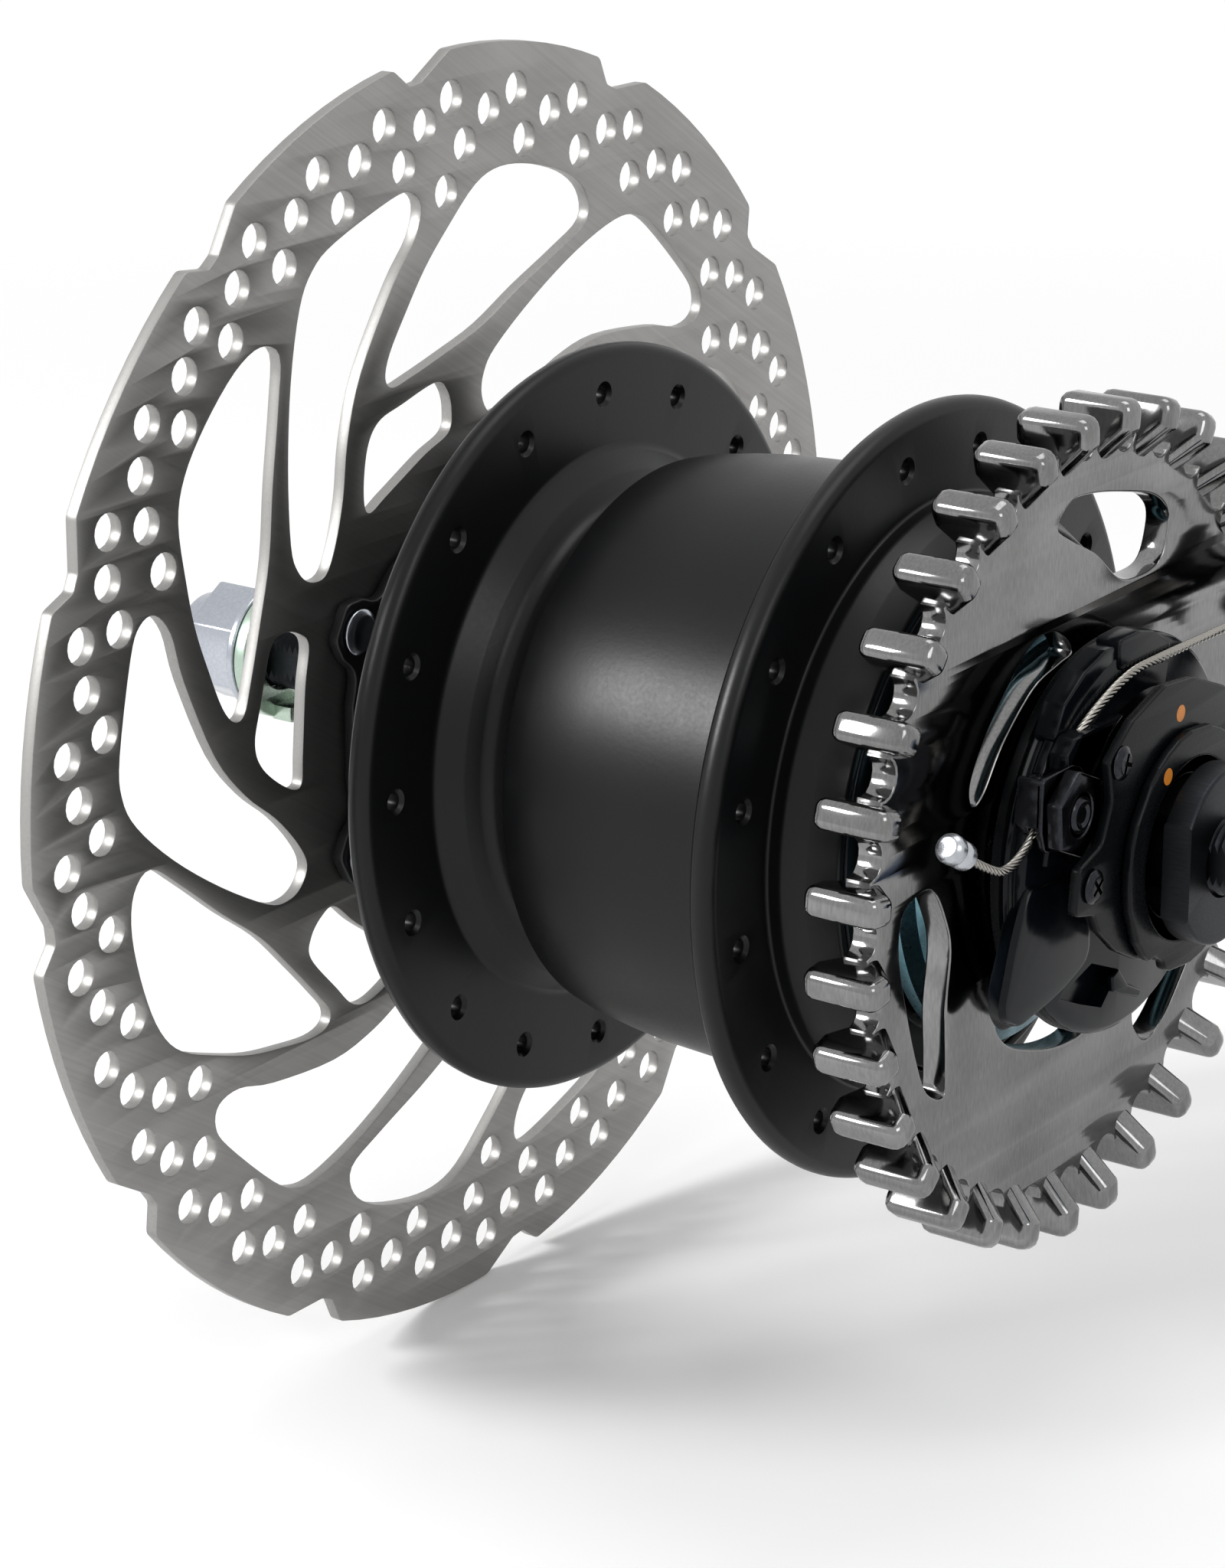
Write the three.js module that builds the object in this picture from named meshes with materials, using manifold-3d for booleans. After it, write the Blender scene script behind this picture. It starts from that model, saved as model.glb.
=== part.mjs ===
// Bicycle hub gear: a five-speed planetary rear hub with a belt sprocket, a rotary shift
// unit and a disc rotor. Millimetres, +Z up, the axle along Y, the rotor towards +Y.
// The origin is the middle of the axle, halfway between the two dropout faces.

import * as THREE from 'three';
import { mergeVertices } from 'three/addons/utils/BufferGeometryUtils.js';
import Module from 'manifold-3d';

const wasm = await Module();
wasm.setup();

// Fits shared by all pieces
const seatGap = 0.3;
const cutOverrun = 1;
const overLocknutWidth = 135;
const dropoutFace = overLocknutWidth / 2;

// Facets round a small, a medium and a large turned piece
const holeSides = 4;
const rivetSides = 6;
const fewSides = 8;
const axleSides = 12;
const someSides = 16;
const manySides = 24;

// Axle, its nuts and washers
const axle = {
  endRadius: 5,
  midRadius: 6.2,
  halfLength: 93.5,
  midHalfLength: 66,
  halfAcrossFlats: 4.2,
  chamfer: 0.8,
};
const nonTurnWasher = { radius: 9.5, thickness: 2, tabWidth: 6, tabLength: 3, tabThickness: 2.4 };
const capNut = {
  acrossFlats: 15,
  flangeRadius: 9.4,
  flangeThickness: 1.4,
  hexHeight: 8.6,
  domeHeight: 5.2,
  threadGrip: 7.2,
  domeShare: 0.92,
};
const leftLocknut = { acrossFlats: 17, thickness: 5.4 };
const rightLocknut = { radius: 11.5, thickness: 4.2, halfAcrossFlats: 9.6 };

// Ball bearings: ball radius, radius of the ball circle, place along the axle, count
const leftBearing = { ball: 2.38, circle: 11.2, y: 45.2, count: 7 };
const driverBearing = { ball: 2.38, circle: 11.2, y: -43.6, count: 7 };
const shellBearing = { ball: 2.38, circle: 26, y: -30.5, count: 12 };
const ballGap = 0.25;
const retainer = { halfWidth: 1.1, halfThickness: 0.5 };

// Cones that carry the balls
const leftCone = {
  innerEnd: 43.2, outerEnd: 61.8, flangeRadius: 11.2, flangeWidth: 1.8, neckRadius: 8.8,
};
const rightCone = {
  innerEnd: -41.2, outerEnd: -63, flangeRadius: 11.2, flangeWidth: 1.8, neckRadius: 8.8,
  sleeveBore: 7.7, shoulder: -58.2, slotInnerEnd: -50.4,
};
const leftSeal = { radius: 12.2, y: 52.6, thickness: 2 };

// Hub shell with two spoke flanges
const flange = { height: 11.1, thickness: 3.7, edgeRound: 1.5, leftFace: 28.5, rightFace: -24.6 };
const spokeHole = { radius: 1.3, edgeMargin: 6.3, count: 16, leftPhaseDeg: -0.9, rightPhaseDeg: 10.3 };
const shell = {
  barrelRadius: 40.7,
  barrelNarrowRadius: 38.3,
  barrelCorner: 17.2,
  valleyRadius: 32.6,
  valley: 22.4,
  shoulderRadius: 37.7,
  rightRidgeRadius: 39.8,
  rightShoulderRadius: 38.8,
  rightShoulder: -30,
  rightEndRadius: 36.7,
  rightEnd: -33.5,
  cavityRadius: 35.4,
  cavityEnd: 16.8,
  clutchBore: 29.5,
  clutchEnd: 27.6,
  bossRadius: 19.8,
  bossShoulder: 48.6,
  bossRoot: 37,
  bossBore: 12.2,
  wall: 3,
};
const spokeFlangeRadius = shell.barrelRadius + flange.height;
const rotorSpline = { radius: 17.2, end: 55.6, threadRadius: 15.2 };

// Ball cup screwed into the drive side of the shell, and the plated dust cap over it
const ballCup = { innerEnd: -26.4, lip: 1.6, bore: 25.4 };
const dustCap = { innerRadius: 17.6, radius: 30.6, innerY: -40.8, outerY: -38.2, lip: 2, thickness: 1.1 };

// Driver, sprocket and what holds the sprocket
const driver = {
  seatRadius: 17.2,
  shoulderRadius: 20.5,
  end: -49.2,
  flangeRadius: 25,
  flangeBack: -28.2,
  innerEnd: -17.2,
  innerRadius: 20,
  innerBore: 16,
  dogDepth: 2.6,
  dogWidth: 6,
};
const sprocket = {
  teeth: 32,
  beltPitch: 11,
  pitchToTip: 0.8,
  toothPhaseDeg: 0.6,
  rootRadius: 50.4,
  plateRimRadius: 47.8,
  front: -46.2,
  thickness: 3,
  toothFront: -50.2,
  toothBack: -39.6,
  toothWidth: 4.6,
  toothEndRound: 1.9,
  lugDepth: 1.5,
  lugWidth: 7,
};
const sprocketLugs = 3;
const snapRing = { radius: 20.2, thickness: 1.2, gapDeg: 40 };
const driverCap = { radius: 25.3, thickness: 1.8, back: -48.1, skirt: 1.4, wall: 1.6 };

// Planetary train: both steps of a planet share one centre distance
const gear = { module: 1.5, pressureDeg: 25, addendumShare: 0.8, dedendumShare: 1.05, backlash: 0.3 };
const smallSun = { teeth: 15, start: -11, width: 8.4 };
const largeSun = { teeth: 18, start: -0.9, width: 8 };
const planet = { largeTeeth: 12, smallTeeth: 9, start: -11.2, largeWidth: 9.2, smallWidth: 9, bore: 2.8 };
const planetPin = { radius: 2.5, head: 3.4, headThickness: 1.2 };
const planetCount = 3;
const carrier = {
  radius: 27.3, rightPlate: 4, leftPlate: 2.8, bridgeInnerRadius: 17.6, bridgeHalfDeg: 20, bore: 7.8,
};
const ringGear = {
  start: -12.6,
  radius: 34.9,
  bellRadius: 31.3,
  bellEnd: 15.6,
  bellWall: 3,
  camRadius: 25.1,
  camEnd: 26.6,
};
const ringBushing = { bore: 6.6, radius: 10.5, end: 24 };
const clutchRoller = { radius: 2, length: 6.6, count: 8, start: 19 };
const rollerCage = { inner: 26, outer: 28.7, rim: 1.1 };
const sunPawl = { width: 2.6, floor: 3.6, engagedTop: 7.9, parkedTop: 5.8, notchRadius: 8.3, notches: 6 };

// Shift unit: sleeve on the axle, cable pulley, bracket and fixing ring
const shiftSleeve = { inner: 6.5, outer: 7.4, start: -57.6, end: -12.2 };
const pulley = {
  front: -56.3,
  back: -50.3,
  radius: 26,
  cableCircle: 24,
  grooveWidth: 1.9,
  grooveStartDeg: 76,
  grooveEndDeg: 172,
  capRadius: 28,
  capStartDeg: 66,
  capEndDeg: 138,
  bore: 9.2,
  lobeRadius: 33.8,
  lobeFront: -54.2,
  lobeDeg: 207,
  lobeHalfDeg: 30,
  lugDeg: 20,
  pocketRadius: 6.2,
  pocketFloor: 1.2,
  webThickness: 3.4,
  hubWall: 3,
  rimWall: 2.4,
  turnDeg: 56,
};
const bracket = {
  front: -60.9,
  thickness: 1.4,
  radius: 26.5,
  hubRadius: 13.6,
  hubBack: -56.6,
  bore: 9.2,
  armStartRadius: 15,
  armWidth: 13,
};
const fixingRing = {
  front: -62.6, thickness: 1.4, outer: 15.8, notches: 6, notchDepth: 1.3, notchWidth: 3.4,
};
const bracketScrew = { circle: 22.6, head: 2.2, headThickness: 0.7, places: [137, 177, 337] };
const cable = { radius: 0.6, y: -54.55, tailY: -54.4, exitDeg: 87, freeLength: 41 };
const casingStop = {
  radius: 4.2, bore: 3.1, length: 12, ferruleRadius: 2.8, ferruleLength: 8.4, ferruleBore: 0.9,
};
const cableBolt = { circle: 24, deg: 156, shank: 2.4, head: 4.2, front: -59.2 };
const cableWasher = { radius: 4.6, thickness: 1 };
const cableNut = { acrossFlats: 10 };
const cableEnd = { radius: 1.9, length: 5.4, mouthShare: 0.8 };

// Disc rotor, its carrier, rivets and lockring
const rotor = {
  radius: 90,
  thickness: 1.8,
  face: 51,
  innerRadius: 26,
  notchCount: 12,
  notchDepth: 3.1,
  notchPhaseDeg: 6.8,
  notchRampDeg: 5,
  notchRiseDeg: 2.8,
  notchFloorHalfDeg: 0.8,
  holeRadius: 2.45,
  rowCount: 36,
  sectorCount: 6,
};
const rotorCarrier = {
  splineEnd: 56, splineWall: 4, webThickness: 1.8, hubRadius: 29,
  armRadius: 36, armWidth: 9, rivetCircle: 31.4, armDeg: 30,
};
const rivet = { radius: 2, head: 3.2, headThickness: 0.9 };
const lockring = {
  flangeRadius: 20.4, flangeThickness: 1.8, inner: 12.9, threadEnd: 51.2,
  notches: 8, notchWidth: 2.6, notchDepth: 1.2,
};

// Finish of each piece
function finish(color, roughness, metalness) {
  return new THREE.MeshStandardMaterial({ color, roughness, metalness });
}
const blackPaint = () => finish(0x24262a, 0.42, 0.1);
const blackPlastic = () => finish(0x1b1c1e, 0.38, 0);
const polishedSteel = () => finish(0xb9bcc0, 0.22, 1);
const brushedSteel = () => finish(0x9a9a98, 0.36, 1);
const zincSteel = () => finish(0xc3c6c8, 0.3, 1);
const darkSteel = () => finish(0x55585c, 0.4, 1);
const tealZinc = () => finish(0x6f9aa6, 0.3, 1);
const greenZinc = () => finish(0x9dbfa4, 0.35, 1);
const blueZinc = () => finish(0x6f86b4, 0.35, 1);
const blackAluminium = () => finish(0x202124, 0.4, 0.6);

// Closed three.js geometry to an exact solid, turned the right way out, and back
function toSolid(geometry) {
  const bare = geometry.clone();
  bare.deleteAttribute('normal');
  bare.deleteAttribute('uv');
  const merged = mergeVertices(bare, 1e-5);
  const position = merged.getAttribute('position').array;
  const index = Array.from(merged.getIndex().array);
  const corner = [new THREE.Vector3(), new THREE.Vector3(), new THREE.Vector3()];
  const kept = [];
  let volume = 0;
  for (let i = 0; i < index.length; i += 3) {
    const [a, b, c] = index.slice(i, i + 3);
    if (a === b || b === c || c === a) continue;
    corner.forEach((point, k) => point.fromArray(position, index[i + k] * 3));
    volume += corner[0].dot(corner[1].clone().cross(corner[2]));
    kept.push(a, b, c);
  }
  if (volume < 0) kept.reverse();
  const mesh = new wasm.Mesh({
    numProp: 3,
    vertProperties: new Float32Array(position),
    triVerts: new Uint32Array(kept),
  });
  return new wasm.Manifold(mesh);
}

function toGeometry(solid) {
  const mesh = solid.getMesh();
  const geometry = new THREE.BufferGeometry();
  geometry.setAttribute('position', new THREE.BufferAttribute(Float32Array.from(mesh.vertProperties), 3));
  geometry.setIndex(Array.from(mesh.triVerts));
  geometry.computeVertexNormals();
  return geometry;
}

function joined(solids) {
  return solids.reduce((sum, solid) => sum.add(solid));
}

function without(solid, cutters) {
  return solid.subtract(joined(cutters));
}

const rad = THREE.MathUtils.degToRad;
const fullTurn = 2 * Math.PI;

// A closed profile of [radius, y] points turned about the axle
function turned(profile, sides) {
  const points = [...profile, profile[0]].map(([r, y]) => new THREE.Vector2(r, y));
  return toSolid(new THREE.LatheGeometry(points, sides));
}

function tube(inner, outer, y0, y1, sides = manySides) {
  return turned([[inner, y0], [outer, y0], [outer, y1], [inner, y1]], sides);
}

function rod(radius, y0, y1, sides = someSides) {
  const geometry = new THREE.CylinderGeometry(radius, radius, y1 - y0, sides);
  return toSolid(geometry.translate(0, (y0 + y1) / 2, 0));
}

// Arc of a ball race in a [radius, y] profile, angles measured from the radial direction
function race(bearing, fromDeg, toDeg, steps = 3) {
  const reach = bearing.ball + ballGap;
  return Array.from({ length: steps + 1 }, (_, i) => {
    const angle = rad(fromDeg + ((toDeg - fromDeg) * i) / steps);
    return [bearing.circle + reach * Math.cos(angle), bearing.y + reach * Math.sin(angle)];
  });
}

// Point in the plane of a wheel, at a radius and an angle from +X towards +Z
function polar(radius, angle) {
  return new THREE.Vector2(radius * Math.cos(angle), radius * Math.sin(angle));
}

function ring2(radius, sides, phase = 0) {
  return Array.from({ length: sides }, (_, i) => polar(radius, phase + (i * fullTurn) / sides));
}

// An outline in the wheel plane, with holes, made into a plate between two places along Y
function plate(outline, holes, y0, y1) {
  const shape = new THREE.Shape(outline);
  shape.holes = holes.map((points) => new THREE.Path(points));
  const geometry = new THREE.ExtrudeGeometry(shape, { depth: y1 - y0, bevelEnabled: false });
  geometry.rotateX(Math.PI / 2);
  return toSolid(geometry.translate(0, y1, 0));
}

// A block given by its width across, its radial reach and its place along Y, at an angle
function radialBlock(width, r0, r1, y0, y1, angle) {
  const geometry = new THREE.BoxGeometry(r1 - r0, y1 - y0, width);
  geometry.translate((r0 + r1) / 2, (y0 + y1) / 2, 0);
  return toSolid(geometry.rotateY(-angle));
}

function around(count, make, phase = 0) {
  return Array.from({ length: count }, (_, i) => make(phase + (i * fullTurn) / count, i));
}

function sector(r0, r1, fromAngle, toAngle, steps = 8) {
  const arc = (radius, from, to) => Array.from(
    { length: steps + 1 }, (_, i) => polar(radius, from + ((to - from) * i) / steps));
  return [...arc(r1, fromAngle, toAngle), ...arc(r0, toAngle, fromAngle)];
}

function hexPrism(acrossFlats, y0, y1, holes = []) {
  const corner = acrossFlats / Math.sqrt(3);
  return plate(ring2(corner, 6, rad(30)), holes, y0, y1);
}

function smoothLoop(points, count) {
  const curve = new THREE.CatmullRomCurve3(points.map((p) => new THREE.Vector3(p.x, p.y, 0)), true);
  return curve.getPoints(count).slice(0, count).map((p) => new THREE.Vector2(p.x, p.y));
}

const group = new THREE.Group();

function addPiece(name, solid, material, parent = group) {
  const mesh = new THREE.Mesh(toGeometry(solid), material);
  mesh.name = name;
  parent.add(mesh);
  return mesh;
}

// Copies of one piece, each a mesh of its own, at places in the wheel plane
function placeAround(name, solid, material, places) {
  const geometry = toGeometry(solid);
  places.forEach((place, i) => {
    const mesh = new THREE.Mesh(geometry, material());
    mesh.name = `${name}_${i + 1}`;
    mesh.position.set(place.x, 0, place.y);
    group.add(mesh);
  });
}

// Axle: a stepped steel rod with two flats at each end and two pawl slots under the suns
function makeAxle() {
  const { endRadius, midRadius, halfLength, midHalfLength, chamfer, halfAcrossFlats } = axle;
  const half = [
    [endRadius - chamfer, halfLength], [endRadius, halfLength - chamfer],
    [endRadius, midHalfLength], [midRadius, midHalfLength],
  ];
  const mirrored = half.map(([r, y]) => [r, -y]);
  const blank = turned([[0, -halfLength], ...mirrored, ...half.reverse(), [0, halfLength]], axleSides);
  const flats = [-1, 1].flatMap((end) => [-1, 1].map((side) => {
    const depth = endRadius;
    const length = halfLength - midHalfLength;
    const box = new THREE.BoxGeometry(depth, length + cutOverrun, 2 * endRadius + cutOverrun);
    return toSolid(box.translate(
      side * (halfAcrossFlats + depth / 2), end * (midHalfLength + (length + cutOverrun) / 2), 0));
  }));
  const slots = [smallSun, largeSun].map((sun) => radialBlock(
    sunPawl.width + 2 * seatGap, sunPawl.floor - seatGap, midRadius + cutOverrun,
    sun.start + sunPawl.width / 2, sun.start + sun.width - sunPawl.width / 2, planetAngle));
  return without(blank, [...flats, ...slots]);
}

// Bore that fits the axle's end: round with two flats
function doubleFlatBore(y0, y1) {
  const round = rod(axle.endRadius + seatGap, y0 - cutOverrun, y1 + cutOverrun, axleSides);
  const width = 2 * (axle.halfAcrossFlats + seatGap);
  const length = y1 - y0 + 2 * cutOverrun;
  const box = new THREE.BoxGeometry(width, length, 2 * axle.endRadius + cutOverrun);
  return round.intersect(toSolid(box.translate(0, (y0 + y1) / 2, 0)));
}

const nutStart = axle.halfLength - capNut.threadGrip;
const washerStart = nutStart - seatGap - nonTurnWasher.thickness;

// Keyed washer whose tab stops the axle from turning in the dropout
function makeNonTurnWasher(side) {
  const { radius, thickness, tabWidth, tabLength, tabThickness } = nonTurnWasher;
  const y0 = washerStart;
  const body = rod(radius, y0, y0 + thickness, someSides);
  const tab = radialBlock(
    tabWidth, radius - tabThickness, radius, y0 - tabLength, y0 + cutOverrun, -Math.PI / 2);
  const washer = without(body.add(tab), [doubleFlatBore(y0, y0 + thickness)]);
  return side > 0 ? washer : washer.mirror([0, 1, 0]);
}

// Closed axle nut: washer face, hexagon and dome
function makeCapNut(side) {
  const { acrossFlats, flangeRadius, flangeThickness, hexHeight, domeHeight, domeShare } = capNut;
  const y0 = nutStart;
  const hexEnd = y0 + flangeThickness + hexHeight;
  const hexagon = hexPrism(acrossFlats, y0, hexEnd);
  const face = rod(flangeRadius, y0, y0 + flangeThickness, someSides);
  const domeRadius = (acrossFlats / 2) * domeShare;
  const domeSteps = 3;
  const dome = Array.from({ length: domeSteps + 1 }, (_, i) => {
    const angle = (i / domeSteps) * (Math.PI / 2);
    return [domeRadius * Math.cos(angle), hexEnd - cutOverrun + (domeHeight + cutOverrun) * Math.sin(angle)];
  });
  const cap = turned([[0, hexEnd - cutOverrun], ...dome], axleSides);
  const bore = rod(axle.endRadius + seatGap, y0 - cutOverrun, axle.halfLength + seatGap, axleSides);
  const nut = without(joined([hexagon, face, cap]), [bore]);
  return side > 0 ? nut : nut.mirror([0, 1, 0]);
}

const planetAngle = Math.PI / 2;
const centreDistance = (gear.module * (smallSun.teeth + planet.largeTeeth)) / 2;
const ringTeeth = smallSun.teeth + 2 * planet.largeTeeth;

// Involute outline of a spur gear, one tooth centred on the given angle. The hole of an
// internal gear is the same outline with addendum and dedendum changed over.
function gearOutline(teeth, toothAngle, internal = false) {
  const pitchRadius = (gear.module * teeth) / 2;
  const baseRadius = pitchRadius * Math.cos(rad(gear.pressureDeg));
  const addendum = gear.module * (internal ? gear.dedendumShare : gear.addendumShare);
  const dedendum = gear.module * (internal ? gear.addendumShare : gear.dedendumShare);
  const involute = (pressure) => Math.tan(pressure) - pressure;
  const slack = ((internal ? 1 : -1) * gear.backlash) / 2 / pitchRadius;
  const halfAtPitch = Math.PI / (2 * teeth) + slack / 2;
  const halfAt = (radius) => {
    const pressure = Math.acos(Math.min(1, baseRadius / radius));
    return halfAtPitch + involute(rad(gear.pressureDeg)) - involute(pressure);
  };
  const radii = [pitchRadius - dedendum, pitchRadius + addendum];
  return around(teeth, (angle) => [
    ...radii.map((radius) => polar(radius, toothAngle + angle - halfAt(radius))),
    ...radii.toReversed().map((radius) => polar(radius, toothAngle + angle + halfAt(radius))),
  ]).flat();
}

// Sun gear with pawl notches in its bore. Where the planet step has an odd number of teeth
// it turns a space to the sun, so a sun tooth stands there.
function makeSun(sun, planetTeeth) {
  const toothAngle = planetAngle + ((planetTeeth + 1) * Math.PI) / sun.teeth;
  const bore = axle.midRadius + seatGap;
  const half = sunPawl.width / 2 + seatGap;
  const hole = around(sunPawl.notches, (angle) => {
    const corner = (radius, side) => polar(radius, angle + side * Math.asin(half / radius));
    return [
      corner(bore, -1), corner(sunPawl.notchRadius, -1), corner(sunPawl.notchRadius, 1), corner(bore, 1),
    ];
  }, planetAngle).flat();
  return plate(gearOutline(sun.teeth, toothAngle), [hole], sun.start, sun.start + sun.width);
}

function makePawl(sun, top) {
  const margin = sunPawl.width / 2 + seatGap;
  return radialBlock(
    sunPawl.width, sunPawl.floor, top, sun.start + margin, sun.start + sun.width - margin, planetAngle);
}

// Stepped planet on its own axis: the wide step meets the small sun and the ring gear
function makePlanet() {
  const bore = ring2(planet.bore, fewSides);
  const stepY = planet.start + planet.largeWidth;
  const end = stepY + planet.smallWidth;
  const wide = plate(gearOutline(planet.largeTeeth, planetAngle), [bore], planet.start, stepY);
  const narrow = plate(gearOutline(planet.smallTeeth, planetAngle), [bore], stepY, end);
  return wide.add(narrow);
}

const planetEnd = planet.start + planet.largeWidth + planet.smallWidth;
const carrierRight = planet.start - seatGap - carrier.rightPlate;
const carrierLeft = planetEnd + seatGap;

// Planet cage: two plates joined by three bridges, with notches for the driver's dogs
function makeCarrier() {
  const { radius, rightPlate, leftPlate, bridgeInnerRadius, bridgeHalfDeg, bore } = carrier;
  const pinHoles = around(planetCount, (angle) => {
    const centre = polar(centreDistance, planetAngle + angle);
    return ring2(planetPin.radius + seatGap, fewSides).map((p) => p.add(centre));
  });
  const outline = ring2(radius, manySides);
  const centreHole = ring2(bore, someSides);
  const right = plate(outline, [centreHole, ...pinHoles], carrierRight, carrierRight + rightPlate);
  const left = plate(outline, [centreHole, ...pinHoles], carrierLeft, carrierLeft + leftPlate);
  const bridges = around(planetCount, (angle) => {
    const middle = planetAngle + Math.PI / planetCount + angle;
    const half = rad(bridgeHalfDeg);
    const shape = sector(bridgeInnerRadius, radius - seatGap, middle - half, middle + half, 2);
    return plate(shape, [], carrierRight + rightPlate / 2, carrierLeft + leftPlate / 2);
  });
  const notches = around(planetCount, (angle) => radialBlock(
    driver.dogWidth + 2 * seatGap, driver.innerBore - seatGap, driver.innerRadius + seatGap,
    carrierRight - cutOverrun, carrierRight + driver.dogDepth + seatGap,
    planetAngle + Math.PI / planetCount + angle));
  return without(joined([right, left, ...bridges]), notches);
}

// Headed pin that carries a planet
function makePlanetPin() {
  const headStart = carrierLeft + carrier.leftPlate + seatGap;
  return turned([
    [0, carrierRight], [planetPin.radius, carrierRight], [planetPin.radius, headStart],
    [planetPin.head, headStart], [planetPin.head, headStart + planetPin.headThickness],
    [0, headStart + planetPin.headThickness],
  ], fewSides);
}

// Ring gear: internal teeth, a bell, a web that runs on the axle and the roller clutch cam
function makeRingGear() {
  const { start, radius, bellRadius, bellEnd, bellWall, camRadius, camEnd } = ringGear;
  const teethEnd = planet.start + planet.largeWidth - seatGap;
  const band = plate(ring2(radius, manySides), [gearOutline(ringTeeth, planetAngle, true)], start, teethEnd);
  const bell = turned([
    [bellRadius, teethEnd], [radius, teethEnd], [radius, bellEnd], [camRadius, bellEnd],
    [camRadius, camEnd], [camRadius - bellWall, camEnd], [camRadius - bellWall, bellEnd],
    [ringBushing.radius, bellEnd], [ringBushing.radius, ringBushing.end], [ringBushing.bore, ringBushing.end],
    [ringBushing.bore, bellEnd - bellWall], [bellRadius, bellEnd - bellWall],
  ], manySides);
  return band.add(bell);
}

const rollerCircle = shell.clutchBore - clutchRoller.radius - seatGap / 2;

// Rollers of the one-way clutch between the ring gear and the shell, in their cage
function makeRollers() {
  const { radius, length, count, start } = clutchRoller;
  const { inner, outer, rim } = rollerCage;
  const rollers = around(count, (angle) => {
    const centre = polar(rollerCircle, angle);
    return rod(radius, start, start + length, fewSides).translate([centre.x, 0, centre.y]);
  });
  return joined([...rollers, tube(inner, outer, start, start + rim)]);
}

// Hub shell: barrel with a groove by the left flange, a clutch bore and the rotor spline
function makeShell() {
  const right = flange.rightFace;
  const rightBack = right + flange.thickness;
  const left = flange.leftFace;
  const leftBack = left + flange.thickness;
  const e = flange.edgeRound;
  const s = shell;
  const outside = [
    [s.cavityRadius, s.rightEnd],
    [s.rightEndRadius, s.rightEnd],
    [s.rightShoulderRadius, s.rightShoulder],
    [s.rightRidgeRadius, right - e],
    [s.rightRidgeRadius - e / 2, right],
    [spokeFlangeRadius - e / 2, right],
    [spokeFlangeRadius, (right + rightBack) / 2],
    [spokeFlangeRadius - e / 2, rightBack],
    [s.barrelRadius + e, rightBack],
    [s.barrelRadius, rightBack + e],
    [s.barrelRadius - e / 4, 0],
    [s.barrelNarrowRadius, s.barrelCorner],
    [s.valleyRadius + e, s.valley - 1.5 * e],
    [s.valleyRadius, s.valley],
    [s.valleyRadius + e, s.valley + 1.5 * e],
    [s.shoulderRadius - e, left - e],
    [s.shoulderRadius, left],
    [spokeFlangeRadius - e / 2, left],
    [spokeFlangeRadius, (left + leftBack) / 2],
    [spokeFlangeRadius - e / 2, leftBack],
    [s.clutchBore + s.wall, leftBack],
    [s.bossRadius, s.bossRoot + s.wall],
    [s.bossRadius, s.bossShoulder],
    [rotorSpline.radius, s.bossShoulder],
    [rotorSpline.radius, rotorSpline.end],
    [rotorSpline.threadRadius, rotorSpline.end],
  ];
  const inside = [
    [rotorSpline.threadRadius, leftBearing.y + 2 * leftBearing.ball],
    ...race(leftBearing, 25, -80),
    [s.bossBore, leftBearing.y - 2 * leftBearing.ball],
    [s.bossRadius - s.wall, s.bossRoot + s.wall / 2],
    [s.clutchBore - s.wall, s.clutchEnd + s.wall / 2],
    [s.clutchBore, s.clutchEnd],
    [s.clutchBore, s.cavityEnd],
    [s.cavityRadius, s.cavityEnd],
  ];
  const blank = turned([...outside, ...inside], manySides);
  const drilled = [[left, leftBack, spokeHole.leftPhaseDeg], [right, rightBack, spokeHole.rightPhaseDeg]];
  const holes = drilled.flatMap(([y0, y1, phaseDeg]) => around(spokeHole.count, (angle) => {
    const centre = polar(spokeFlangeRadius - spokeHole.edgeMargin, angle);
    const hole = rod(spokeHole.radius, y0 - cutOverrun, y1 + cutOverrun, holeSides);
    return hole.translate([centre.x, 0, centre.y]);
  }, rad(phaseDeg)));
  return without(blank, holes);
}

// Steel cup that closes the drive side of the shell and carries the large ball circle
function makeBallCup() {
  const { innerEnd, lip, bore } = ballCup;
  const radius = shell.cavityRadius - seatGap;
  const races = race(shellBearing, 0, 80);
  return turned([
    [radius, innerEnd], [radius, shell.rightEnd], [races[0][0] + lip, shell.rightEnd],
    [races[0][0], shell.rightEnd + lip], ...races, [bore, innerEnd],
  ], manySides);
}

// Pressed dust cap on the driver, dished over the ball cup
function makeDustCap() {
  const { innerRadius, radius, innerY, outerY, lip, thickness } = dustCap;
  const middle = (innerRadius + radius) / 2;
  const foot = driver.shoulderRadius + seatGap;
  return turned([
    [foot, innerY], [middle, innerY], [radius, outerY], [radius, outerY + lip],
    [radius - thickness, outerY + lip], [radius - thickness, outerY + thickness / 2],
    [middle, innerY + thickness], [foot, innerY + thickness],
  ], manySides);
}

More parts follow.
